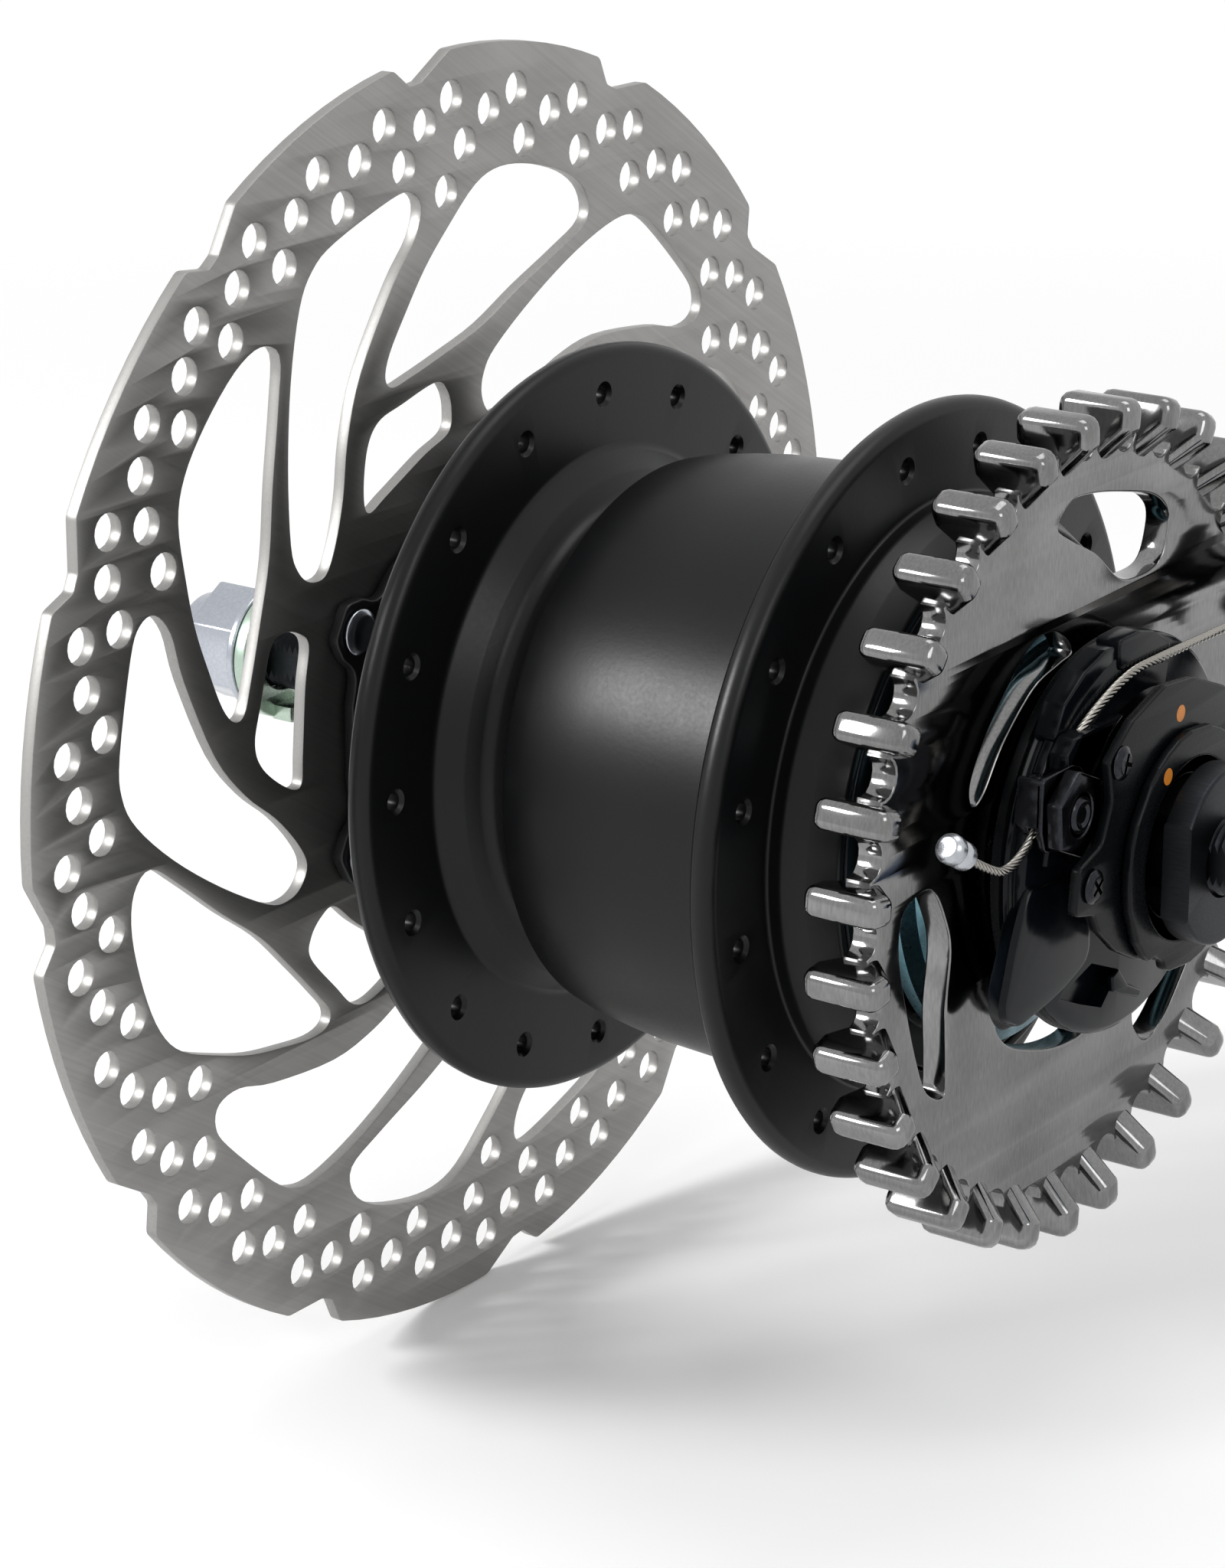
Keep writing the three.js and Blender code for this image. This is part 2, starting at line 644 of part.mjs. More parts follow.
// Driver: the sprocket's seat, the inner cup, the outer race and the drive dogs
function makeDriver() {
  const d = driver;
  const seatY = sprocket.front + sprocket.thickness + seatGap;
  const innerRace = race(driverBearing, 80, -25);
  const outerRace = race(shellBearing, 180, 255);
  const bore = driverBearing.circle;
  const blank = turned([
    [d.seatRadius, d.end], [d.seatRadius, seatY], [d.shoulderRadius, seatY],
    [d.shoulderRadius, shellBearing.y - 1.6 * shellBearing.ball],
    [d.flangeRadius, shellBearing.y - 1.5 * shellBearing.ball],
    ...outerRace.toReversed(),
    [outerRace[0][0], d.flangeBack], [d.innerRadius, d.flangeBack + d.dogDepth],
    [d.innerRadius, d.innerEnd], [d.innerBore, d.innerEnd],
    [d.innerBore, d.flangeBack], [bore, driverBearing.y + 2 * driverBearing.ball],
    ...innerRace, [innerRace[innerRace.length - 1][0], d.end],
  ], manySides);
  const dogs = around(planetCount, (angle) => radialBlock(
    d.dogWidth, d.innerBore, d.innerRadius, d.innerEnd - cutOverrun, d.innerEnd + d.dogDepth + seatGap,
    planetAngle + Math.PI / planetCount + angle));
  const keyways = around(sprocketLugs, (angle) => radialBlock(
    sprocket.lugWidth + 2 * seatGap, d.seatRadius - sprocket.lugDepth, d.seatRadius + cutOverrun,
    d.end - cutOverrun, seatY, angle), planetAngle);
  const groove = tube(
    d.seatRadius - snapRing.thickness, d.seatRadius + cutOverrun,
    sprocket.front - seatGap - snapRing.thickness - seatGap, sprocket.front - seatGap);
  return without(joined([blank, ...dogs]), [...keyways, groove]);
}

// Open spring ring in the driver's groove
function makeSnapRing() {
  const front = sprocket.front - seatGap - snapRing.thickness;
  const inner = driver.seatRadius - snapRing.thickness + seatGap;
  const from = rad(snapRing.gapDeg / 2);
  const to = fullTurn - from;
  const turn = planetAngle + Math.PI / planetCount;
  const ring = sector(inner, snapRing.radius, turn + from, turn + to, someSides);
  return plate(ring, [], front, front + snapRing.thickness);
}

// Windows of the belt sprocket as [share of the plate's rim radius, degrees]
const sprocketWindowShares = [
  [0.885, 60.5], [0.9, 67], [0.892, 77], [0.902, 88], [0.91, 95.5], [0.865, 100.5],
  [0.8, 95.5], [0.735, 86], [0.665, 74.5], [0.68, 65.5], [0.745, 57.8], [0.83, 58],
];
const sprocketSlotShares = [
  [0.498, 97], [0.55, 100.5], [0.6, 107], [0.625, 116], [0.618, 128], [0.621, 143],
  [0.624, 155], [0.585, 160], [0.545, 156], [0.525, 141], [0.512, 120], [0.495, 105],
];

const sprocketWindows = [
  { shares: sprocketWindowShares, corners: 20 },
  { shares: sprocketSlotShares, corners: 18 },
];

// Belt sprocket: a flat plate with windows, and rounded fingers that stand out on both faces
function makeSprocket() {
  const s = sprocket;
  const pitchRadius = (s.teeth * s.beltPitch) / fullTurn;
  const tipRadius = pitchRadius - s.pitchToTip;
  const halfTooth = s.toothWidth / 2;
  const back = s.front + s.thickness;
  const plateOutline = ring2(s.rootRadius, s.teeth, rad(s.toothPhaseDeg));
  const windows = around(
    sprocketLugs, (angle) => smoothOpenings(sprocketWindows, s.plateRimRadius, angle)).flat();
  const bore = ring2(driver.seatRadius + seatGap, manySides);
  const web = plate(plateOutline, [bore, ...windows], s.front, back);
  const lugs = around(sprocketLugs, (angle) => radialBlock(
    s.lugWidth, driver.seatRadius - s.lugDepth + seatGap, driver.seatRadius + 2 * cutOverrun,
    s.front, back, angle), planetAngle);
  const r = s.toothEndRound;
  const foot = s.plateRimRadius;
  const fingerProfile = [
    [foot, s.front - r / 2], [(s.rootRadius + tipRadius) / 2, s.toothFront],
    [tipRadius, s.toothFront + r], [tipRadius, s.toothBack - r],
    [(s.rootRadius + tipRadius) / 2, s.toothBack], [foot, back + r / 2],
  ];
  const fingers = around(s.teeth, (angle) => {
    const shape = new THREE.Shape(fingerProfile.map(([x, y]) => new THREE.Vector2(x, y)));
    const finger = new THREE.ExtrudeGeometry(shape, { depth: s.toothWidth, bevelEnabled: false });
    return toSolid(finger.translate(0, 0, -halfTooth).rotateY(-angle));
  }, rad(s.toothPhaseDeg));
  return joined([web, ...lugs, ...fingers]);
}

// Plastic ring in front of the sprocket, with a skirt round the snap ring
function makeDriverCap() {
  const { radius, thickness, back, skirt, wall } = driverCap;
  const front = back - thickness;
  const bore = driver.seatRadius + seatGap;
  const skirtInner = snapRing.radius + seatGap;
  return turned([
    [bore, front], [radius - thickness / 3, front], [radius, front + thickness / 3], [radius, back],
    [skirtInner + wall, back], [skirtInner + wall, back + skirt], [skirtInner, back + skirt],
    [skirtInner, back], [bore, back],
  ], manySides);
}

// Left cone: race, spanner flats and a bore on the axle
function makeLeftCone() {
  const { innerEnd, outerEnd, flangeRadius, flangeWidth, neckRadius } = leftCone;
  const races = race(leftBearing, 180, 105);
  const bore = axle.midRadius + seatGap;
  return turned([
    [bore, innerEnd], [races[0][0], innerEnd], ...races, [flangeRadius, races[3][1]],
    [flangeRadius, races[3][1] + flangeWidth], [neckRadius, races[3][1] + 2 * flangeWidth],
    [neckRadius, outerEnd], [bore, outerEnd],
  ], someSides);
}

function makeLeftSeal() {
  const { radius, y, thickness } = leftSeal;
  return tube(leftCone.neckRadius + seatGap, radius, y, y + thickness, someSides);
}

// Right cone: race, a bore round the shift sleeve and two open slots for the pulley's lugs
function makeRightCone() {
  const { innerEnd, outerEnd, flangeRadius, flangeWidth, neckRadius } = rightCone;
  const { sleeveBore, shoulder, slotInnerEnd } = rightCone;
  const races = race(driverBearing, 180, 255);
  const bore = axle.midRadius + seatGap;
  const blank = turned([
    [sleeveBore, innerEnd], [races[0][0], innerEnd], ...races, [flangeRadius, races[3][1]],
    [flangeRadius, races[3][1] - flangeWidth], [neckRadius, races[3][1] - 2 * flangeWidth],
    [neckRadius, outerEnd], [bore, outerEnd], [bore, shoulder], [sleeveBore, shoulder],
  ], someSides);
  const swing = rad(pulley.turnDeg + pulley.lugDeg) / 2 + 2 * seatGap / neckRadius;
  const slots = around(2, (angle) => {
    const middle = angle - rad(pulley.turnDeg) / 2;
    const shape = sector(bore - cutOverrun, neckRadius + cutOverrun, middle - swing, middle + swing, 4);
    return plate(shape, [], outerEnd - cutOverrun, slotInnerEnd);
  }, lugAngle);
  return without(blank, slots);
}

const lugAngle = rad(pulley.lobeDeg);

// Thin sleeve on the axle that the pulley turns to lift the sun pawls
function makeShiftSleeve() {
  const { inner, outer, start, end } = shiftSleeve;
  const notches = around(2, (angle) => {
    const half = rad(pulley.lugDeg) / 2 + seatGap / outer;
    return plate(sector(inner - cutOverrun, outer + cutOverrun, angle - half, angle + half, 1), [],
      start - cutOverrun, rightCone.slotInnerEnd - 2 * seatGap);
  }, lugAngle);
  return without(tube(inner, outer, start, end, someSides), notches);
}

// Cable pulley: a flat wheel with a raised cap and a lobe, a hub with two lugs, and a grooved
// rim along the cable's wrap, with a pocket for the clamp bolt
function makePulley() {
  const p = pulley;
  const grooveFront = cable.y - p.grooveWidth / 2;
  const grooveBack = cable.y + p.grooveWidth / 2;
  const grooveFloor = p.cableCircle - cable.radius - seatGap;
  const webFront = p.back - p.webThickness;
  const hub = p.bore + p.hubWall;
  const rimInner = grooveFloor - p.rimWall;
  const blank = turned([
    [p.bore, p.front], [hub, p.front], [hub, webFront], [rimInner, webFront], [rimInner, p.front],
    [p.radius, p.front], [p.radius, grooveFront],
    [grooveFloor, grooveFront], [grooveFloor, grooveBack], [p.radius, grooveBack],
    [p.radius, p.back], [p.bore, p.back],
  ], manySides);
  const lobeSteps = 8;
  const capSteps = 8;
  const lobeMiddle = rad(p.lobeDeg);
  const lobeFoot = p.radius - p.rimWall;
  const lobeRim = Array.from({ length: lobeSteps + 1 }, (_, i) => {
    const offset = -1 + (2 * i) / lobeSteps;
    const rise = Math.sqrt(Math.max(0, Math.cos((offset * Math.PI) / 2)));
    return polar(lobeFoot + (p.lobeRadius - lobeFoot) * rise, lobeMiddle + offset * rad(p.lobeHalfDeg));
  });
  const lobe = plate([...lobeRim, polar(hub, lobeMiddle)], [], p.lobeFront, p.back);
  const cap = plate(
    sector(lobeFoot, p.capRadius, rad(p.capStartDeg), rad(p.capEndDeg), capSteps), [], grooveBack, p.back);
  const lugs = around(2, (angle) => {
    const half = rad(p.lugDeg) / 2;
    const inner = shiftSleeve.inner + seatGap / 2;
    const shape = sector(inner, p.bore + cutOverrun, angle - half, angle + half, 2);
    return plate(shape, [], p.front, rightCone.slotInnerEnd - 3 * seatGap);
  }, lugAngle);
  const pocket = atCableBolt(
    rod(p.pocketRadius, p.front - cutOverrun, p.back - p.pocketFloor, axleSides));
  const grooveStart = rad(p.grooveStartDeg);
  const grooveEnd = rad(p.grooveEndDeg);
  const openRim = plate(
    sector(hub + seatGap, p.radius + cutOverrun, grooveEnd, grooveStart + fullTurn, manySides),
    [], p.front - cutOverrun, grooveBack);
  return joined([without(joined([blank, cap, ...lugs]), [pocket, openRim]), lobe]);
}

const exitAngle = rad(cable.exitDeg);
const exitPoint = polar(pulley.cableCircle, exitAngle);
const exitDirection = new THREE.Vector2(Math.sin(exitAngle), -Math.cos(exitAngle));
const stopStart = exitPoint.clone().addScaledVector(exitDirection, cable.freeLength);

// Cylinder that runs along the cable's exit direction from a distance past the stop's mouth
function alongExit(radius, from, to, sides) {
  const geometry = new THREE.CylinderGeometry(radius, radius, to - from, sides);
  geometry.translate(0, (from + to) / 2, 0);
  geometry.rotateZ(-Math.PI / 2).rotateY(-Math.atan2(exitDirection.y, exitDirection.x));
  return toSolid(geometry.translate(stopStart.x, cable.y, stopStart.y));
}

// Outline of the bracket's plate as [share of its radius, degrees]: an ear round each screw
// and a hollow beside the clamp nut
const bracketShares = [
  [0.8, 60], [0.82, 84], [0.87, 104], [0.905, 124], [0.935, 140], [0.785, 149], [0.785, 164],
  [0.97, 171], [0.99, 184], [0.82, 188], [0.78, 196], [0.68, 212], [0.6, 230], [0.57, 262],
  [0.58, 294], [0.72, 318], [0.94, 328], [0.94, 346], [0.7, 356],
];

// Bracket: plate behind the fixing ring, hub, and the arm that holds the casing stop
function makeBracket() {
  const b = bracket;
  const back = b.front + b.thickness;
  const disc = plate(
    bracketShares.map(([share, deg]) => polar(share * b.radius, rad(deg))),
    [ring2(b.bore, manySides, planetAngle)], b.front, back);
  const hub = tube(b.bore, b.hubRadius, b.front, b.hubBack, manySides);
  const armEnd = stopStart.clone().addScaledVector(exitDirection, casingStop.length / 2);
  const armAngle = Math.atan2(armEnd.y, armEnd.x);
  const armTip = armEnd.length() + casingStop.radius;
  const arm = radialBlock(b.armWidth, b.armStartRadius, armTip, b.front, back, armAngle);
  const post = radialBlock(
    b.armWidth, armTip - 2 * casingStop.radius, armTip, b.front, cable.y, armAngle);
  const barrel = alongExit(casingStop.radius, 0, casingStop.length, axleSides);
  const bore = alongExit(
    casingStop.bore, seatGap + cable.radius, casingStop.length + cutOverrun, axleSides);
  const mouth = alongExit(2 * cable.radius, -cutOverrun, casingStop.length, fewSides);
  const screwHoles = screwPlaces().map((centre) => rod(
    bracketScrew.head / 2 + seatGap, b.front - cutOverrun, back + cutOverrun, rivetSides,
  ).translate([centre.x, 0, centre.y]));
  return without(joined([disc, hub, arm, post, barrel]), [bore, mouth, ...screwHoles]);
}

function screwPlaces() {
  return bracketScrew.places.map((deg) => polar(bracketScrew.circle, rad(deg)));
}

// Pan head screw of the bracket's disc
function makeBracketScrew() {
  const { head, headThickness } = bracketScrew;
  const front = bracket.front - seatGap;
  const pan = rod(head, front - headThickness, front, fewSides);
  return pan.add(rod(head / 2, front - headThickness / 2, bracket.front + bracket.thickness, rivetSides));
}

// Ring that locks the bracket on the cone, with grip notches round its edge
function makeFixingRing() {
  const { front, thickness, outer, notches, notchDepth, notchWidth } = fixingRing;
  const inner = rightLocknut.radius + seatGap;
  const back = front + thickness;
  const cuts = around(notches, (angle) => radialBlock(
    notchWidth, outer - notchDepth, outer + cutOverrun, front - cutOverrun, back + cutOverrun, angle));
  return without(tube(inner, outer, front, back, manySides), cuts);
}

// Steel casing end in the bracket's stop, bored for the cable
function makeFerrule() {
  const start = seatGap + cable.radius + seatGap;
  const body = alongExit(casingStop.ferruleRadius, start, start + casingStop.ferruleLength, axleSides);
  const bore = alongExit(
    casingStop.ferruleBore, start - cutOverrun, start + casingStop.ferruleLength + cutOverrun, fewSides);
  return without(body, [bore]);
}

// Cable route from the casing end, round the pulley, past the bolt to its end, in shares of
// the cable circle's radius and degrees
const cableWrapShares = [[1, 87], [1, 97], [1, 107], [1, 116], [1, 125], [1, 134]];
const cableTailShares = [
  [1.06, 145], [1.15, 156], [1.24, 165], [1.42, 170], [1.66, 168.6], [1.86, 167.4],
];

function cablePoints() {
  const middle = stopStart.clone().lerp(exitPoint, 0.5);
  const start = stopStart.clone().addScaledVector(exitDirection, casingStop.ferruleLength);
  const lift = (p, y) => new THREE.Vector3(p.x, y, p.y);
  const wrap = cableWrapShares.map(
    ([share, deg]) => lift(polar(share * pulley.cableCircle, rad(deg)), cable.y));
  const tail = cableTailShares.map(([share, deg], i) => lift(
    polar(share * pulley.cableCircle, rad(deg)),
    THREE.MathUtils.lerp(cable.y, cable.tailY, Math.max(0, i - 1) / (cableTailShares.length - 2))));
  return [lift(start, cable.y), lift(stopStart, cable.y), lift(middle, cable.y), ...wrap, ...tail];
}

// Inner cable as one tube
function makeCable() {
  const route = new THREE.CatmullRomCurve3(cablePoints());
  const section = new THREE.Shape(ring2(cable.radius, fewSides));
  const routeSteps = 28;
  return toSolid(new THREE.ExtrudeGeometry(
    section, { steps: routeSteps, bevelEnabled: false, extrudePath: route }));
}

// Crimped end on the cable's tail
function makeCableEnd() {
  const points = cablePoints();
  const last = points[points.length - 1];
  const along = last.clone().sub(points[points.length - 2]).normalize();
  const { radius, mouthShare, length } = cableEnd;
  const geometry = new THREE.CylinderGeometry(radius, mouthShare * radius, length, axleSides);
  geometry.translate(0, length / 2 + seatGap, 0);
  const upright = new THREE.Vector3(0, 1, 0);
  geometry.applyQuaternion(new THREE.Quaternion().setFromUnitVectors(upright, along));
  return toSolid(geometry.translate(last.x, last.y, last.z));
}

function atCableBolt(solid) {
  const centre = polar(cableBolt.circle, rad(cableBolt.deg));
  return solid.translate([centre.x, 0, centre.y]);
}

// Clamp bolt whose head lies in the pulley's pocket and reaches up to the cable
function makeCableBolt() {
  const headBack = pulley.back - pulley.pocketFloor - seatGap;
  const headFront = cable.y + cable.radius + seatGap;
  const head = rod(cableBolt.head, headFront, headBack, axleSides);
  return atCableBolt(head.add(rod(cableBolt.shank, cableBolt.front, headBack - seatGap, fewSides)));
}

const washerBack = cable.y - cable.radius - seatGap;

// Washer on the cable, under the clamp nut
function makeCableWasher() {
  const { radius, thickness } = cableWasher;
  return atCableBolt(tube(
    cableBolt.shank + seatGap, radius, washerBack - thickness, washerBack, axleSides));
}

// Hexagon nut that clamps the cable
function makeCableNut() {
  const front = cableBolt.front + seatGap;
  const back = washerBack - cableWasher.thickness - seatGap;
  return atCableBolt(hexPrism(
    cableNut.acrossFlats, front, back, [ring2(cableBolt.shank + seatGap, fewSides)]));
}

// Rotor openings in one sector as [share of the rotor's radius, degrees]
const teardropShares = [
  [0.757, 185.6], [0.797, 187.2], [0.814, 191.5], [0.8165, 198], [0.812, 203.6], [0.79, 208],
  [0.735, 213.4], [0.69, 218.2], [0.643, 223], [0.6, 228], [0.57, 230.2], [0.549, 229.2],
  [0.5435, 224.6], [0.549, 215.4], [0.574, 205.8], [0.63, 197.3], [0.7, 189.6],
];
const sweptShares = [
  [0.818, 162.5], [0.8175, 172.2], [0.81, 176.5], [0.78, 180.2], [0.707, 186], [0.618, 193.6],
  [0.538, 202], [0.5, 204.9], [0.465, 205.2], [0.438, 202.4], [0.445, 196.6], [0.481, 189],
  [0.543, 182.2], [0.61, 174.8], [0.695, 164.6], [0.742, 159.4], [0.785, 157.8], [0.812, 159.2],
];
const hubWindowShares = [
  [0.49, 155.6], [0.511, 158.5], [0.513, 168], [0.519, 174.4], [0.5, 179],
  [0.45, 184.2], [0.417, 185.5], [0.409, 179], [0.414, 165], [0.425, 156.4], [0.455, 154.8],
];
const drillRowShares = [[0.928, 151.8], [0.9, 156], [0.853, 159.8]];
const innerDrillShares = [0.79, 153.2];

const rotorWindows = [
  { shares: teardropShares, corners: 12 },
  { shares: sweptShares, corners: 15 },
  { shares: hubWindowShares, corners: 9 },
];

// Smooth openings at an angle, from shares of a radius
function smoothOpenings(windows, radius, angle) {
  return windows.map(({ shares, corners }) => smoothLoop(
    shares.map(([share, deg]) => polar(share * radius, rad(deg) + angle)), corners));
}

// Disc rotor: notched rim, diagonal rows of holes, swept arms and windows
function makeRotor() {
  const r = rotor;
  const openings = around(r.sectorCount, (angle) => smoothOpenings(rotorWindows, r.radius, angle)).flat();
  const drill = (share, deg, angle) => {
    const centre = polar(share * r.radius, rad(deg) + angle);
    return ring2(r.holeRadius, holeSides, rad(deg) + angle).map((p) => p.add(centre));
  };
  const rows = around(
    r.rowCount, (angle) => drillRowShares.map(([share, deg]) => drill(share, deg, angle))).flat();
  const innerRow = around(r.sectorCount, (angle) => drill(...innerDrillShares, angle));
  const rivetHoles = around(r.sectorCount, (angle) => {
    const centre = polar(rotorCarrier.rivetCircle, rad(rotorCarrier.armDeg) + angle);
    return ring2(rivet.radius + seatGap, rivetSides, planetAngle).map((p) => p.add(centre));
  });
  const rimSteps = 2;
  const landAngle = fullTurn / r.notchCount - rad(r.notchRampDeg + r.notchRiseDeg);
  const rim = around(r.notchCount, (angle) => {
    const middle = angle + rad(r.notchPhaseDeg);
    const floor = r.radius - r.notchDepth;
    const land = Array.from({ length: rimSteps + 1 }, (_, i) => polar(
      r.radius, middle + rad(r.notchRiseDeg) + (landAngle * i) / rimSteps));
    const floorHalf = rad(r.notchFloorHalfDeg);
    return [polar(floor, middle - floorHalf), polar(floor, middle + floorHalf), ...land];
  }).flat();
  const holes = [ring2(r.innerRadius, manySides), ...openings, ...rows, ...innerRow, ...rivetHoles];
  return plate(rim, holes, r.face, r.face + r.thickness);
}

// Splined aluminium carrier behind the rotor, with one arm to each rivet
function makeRotorCarrier() {
  const c = rotorCarrier;
  const bore = rotorSpline.radius + seatGap;
  const webEnd = rotor.face - seatGap;
  const webStart = webEnd - c.webThickness;
  const hub = turned([
    [bore, webStart], [rotor.innerRadius - seatGap, webStart],
    [rotor.innerRadius - seatGap, rotor.face + rotor.thickness],
    [bore + c.splineWall, rotor.face + rotor.thickness], [bore + c.splineWall, c.splineEnd],
    [bore, c.splineEnd],
  ], manySides);
  const tipSteps = 4;
  const tipHalf = c.armWidth / 2;
  const tipDistance = c.armRadius - tipHalf;
  const outline = around(rotor.sectorCount, (angle) => {
    const foot = Math.asin(tipHalf / c.hubRadius);
    const tip = Array.from({ length: tipSteps + 1 }, (_, i) => polar(tipDistance, angle).add(
      polar(tipHalf, angle + (i / tipSteps - 1 / 2) * Math.PI)));
    return [polar(c.hubRadius, angle - foot), ...tip, polar(c.hubRadius, angle + foot)];
  }, rad(c.armDeg)).flat();
  const holes = around(rotor.sectorCount, (angle) => {
    const centre = polar(c.rivetCircle, angle);
    return ring2(rivet.radius + seatGap, rivetSides, planetAngle).map((p) => p.add(centre));
  }, rad(c.armDeg));
  const centreHole = ring2(bore + c.splineWall, manySides, planetAngle);
  return hub.add(plate(outline, [centreHole, ...holes], webStart, webEnd));
}

// Rivet that holds the rotor on its carrier
function makeRivet() {
  const { radius, head, headThickness } = rivet;
  const front = rotor.face - seatGap - rotorCarrier.webThickness - seatGap;
  const back = rotor.face + rotor.thickness + seatGap;
  return turned([
    [0, front - headThickness], [head, front - headThickness], [head, front], [radius, front],
    [radius, back], [head, back], [head, back + headThickness], [0, back + headThickness],
  ], rivetSides);
}

// Lockring in the boss's thread, with notches for its tool
function makeLockring() {
  const { flangeRadius, flangeThickness, inner, threadEnd, notches, notchWidth, notchDepth } = lockring;
  const flangeBack = rotorCarrier.splineEnd + seatGap;
  const thread = rotorSpline.threadRadius - seatGap;
  const blank = turned([
    [inner, threadEnd], [thread, threadEnd], [thread, flangeBack], [flangeRadius, flangeBack],
    [flangeRadius, flangeBack + flangeThickness], [inner, flangeBack + flangeThickness],
  ], manySides);
  const cuts = around(notches, (angle) => radialBlock(
    notchWidth, flangeRadius - notchDepth, flangeRadius + cutOverrun,
    flangeBack - cutOverrun, flangeBack + flangeThickness + cutOverrun, angle));
  return without(blank, cuts);
}

// Balls held in their ring-shaped retainer
function makeBalls(bearing) {
  const { ball, circle, y, count } = bearing;
  const { halfWidth, halfThickness } = retainer;
  const cage = tube(circle - halfWidth, circle + halfWidth, y - halfThickness, y + halfThickness, count);
  return cage.add(joined(around(count, (angle) => {
    const centre = polar(circle, angle);
    return toSolid(new THREE.SphereGeometry(ball, 6, 3)).translate([centre.x, y, centre.y]);
  }, planetAngle)));
}

function makeLeftLocknut() {
  const y0 = dropoutFace - leftLocknut.thickness;
  return without(hexPrism(leftLocknut.acrossFlats, y0, dropoutFace), [axleBore(y0, dropoutFace)]);
}

function makeRightLocknut() {
  const { radius, thickness, halfAcrossFlats } = rightLocknut;
  const y1 = -dropoutFace + thickness - seatGap;
  const round = rod(radius, -dropoutFace, y1, someSides);
  const box = new THREE.BoxGeometry(2 * halfAcrossFlats, thickness, 3 * radius);
  const flats = toSolid(box.translate(0, (-dropoutFace + y1) / 2, 0));
  return without(round.intersect(flats), [axleBore(-dropoutFace, y1)]);
}

// Stepped bore round the axle between two places
function axleBore(y0, y1) {
  const step = Math.sign(y0 + y1) * (axle.midHalfLength + seatGap);
  const wide = y1 > 0 ? [y0 - cutOverrun, step] : [step, y1 + cutOverrun];
  return joined([
    rod(axle.endRadius + seatGap, y0 - cutOverrun, y1 + cutOverrun, axleSides),
    rod(axle.midRadius + seatGap, ...wide, axleSides),
  ]);
}

addPiece('axle', makeAxle(), darkSteel());
addPiece('axle_nut_left', makeCapNut(1), zincSteel());
addPiece('axle_nut_right', makeCapNut(-1), zincSteel());
addPiece('non_turn_washer_left', makeNonTurnWasher(1), greenZinc());
addPiece('non_turn_washer_right', makeNonTurnWasher(-1), blueZinc());
addPiece('left_locknut', makeLeftLocknut(), zincSteel());
addPiece('right_locknut', makeRightLocknut(), darkSteel());
addPiece('left_cone', makeLeftCone(), darkSteel());
addPiece('right_cone', makeRightCone(), darkSteel());
addPiece('left_dust_seal', makeLeftSeal(), blackPlastic());
addPiece('left_balls', makeBalls(leftBearing), polishedSteel());
addPiece('driver_balls', makeBalls(driverBearing), polishedSteel());
addPiece('shell_balls', makeBalls(shellBearing), polishedSteel());
addPiece('small_sun_gear', makeSun(smallSun, planet.largeTeeth), darkSteel());
addPiece('small_sun_pawl', makePawl(smallSun, sunPawl.engagedTop), zincSteel());
addPiece('large_sun_pawl', makePawl(largeSun, sunPawl.parkedTop), zincSteel());
addPiece('large_sun_gear', makeSun(largeSun, planet.smallTeeth), darkSteel());

const planetGeometry = toGeometry(makePlanet());
around(planetCount, (angle, i) => {
  const spider = new THREE.Group();
  const mesh = new THREE.Mesh(planetGeometry, darkSteel());
  mesh.name = `planet_gear_${i + 1}`;
  mesh.position.set(0, 0, centreDistance);
  spider.rotation.y = -angle;
  spider.add(mesh);
  group.add(spider);
});

addPiece('planet_carrier', makeCarrier(), darkSteel());
placeAround('planet_pin', makePlanetPin(), zincSteel, around(
  planetCount, (angle) => polar(centreDistance, angle), planetAngle));
addPiece('ring_gear', makeRingGear(), darkSteel());
addPiece('clutch_rollers', makeRollers(), polishedSteel());
addPiece('hub_shell', makeShell(), blackPaint());
addPiece('ball_cup', makeBallCup(), darkSteel());
addPiece('dust_cap', makeDustCap(), tealZinc());
addPiece('driver', makeDriver(), darkSteel());
addPiece('belt_sprocket', makeSprocket(), polishedSteel());
addPiece('sprocket_snap_ring', makeSnapRing(), zincSteel());
addPiece('driver_cap', makeDriverCap(), blackPlastic());
addPiece('shift_sleeve', makeShiftSleeve(), zincSteel());
addPiece('cable_pulley', makePulley(), blackPlastic());
addPiece('shift_bracket', makeBracket(), blackPlastic());
placeAround('bracket_screw', makeBracketScrew(), darkSteel, screwPlaces());
addPiece('fixing_ring', makeFixingRing(), blackPlastic());
addPiece('casing_ferrule', makeFerrule(), zincSteel());
addPiece('shift_cable', makeCable(), polishedSteel());
addPiece('cable_end_cap', makeCableEnd(), zincSteel());
addPiece('cable_bolt', makeCableBolt(), zincSteel());
addPiece('cable_washer', makeCableWasher(), zincSteel());
addPiece('cable_nut', makeCableNut(), zincSteel());
addPiece('disc_rotor', makeRotor(), brushedSteel());
addPiece('rotor_carrier', makeRotorCarrier(), blackAluminium());
placeAround('rotor_rivet', makeRivet(), zincSteel, around(
  rotor.sectorCount, (angle) => polar(rotorCarrier.rivetCircle, angle), rad(rotorCarrier.armDeg)));
addPiece('rotor_lockring', makeLockring(), blackAluminium());

export default group;
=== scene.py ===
import math

import bmesh
import bpy
import numpy as np
from mathutils import Matrix, Vector


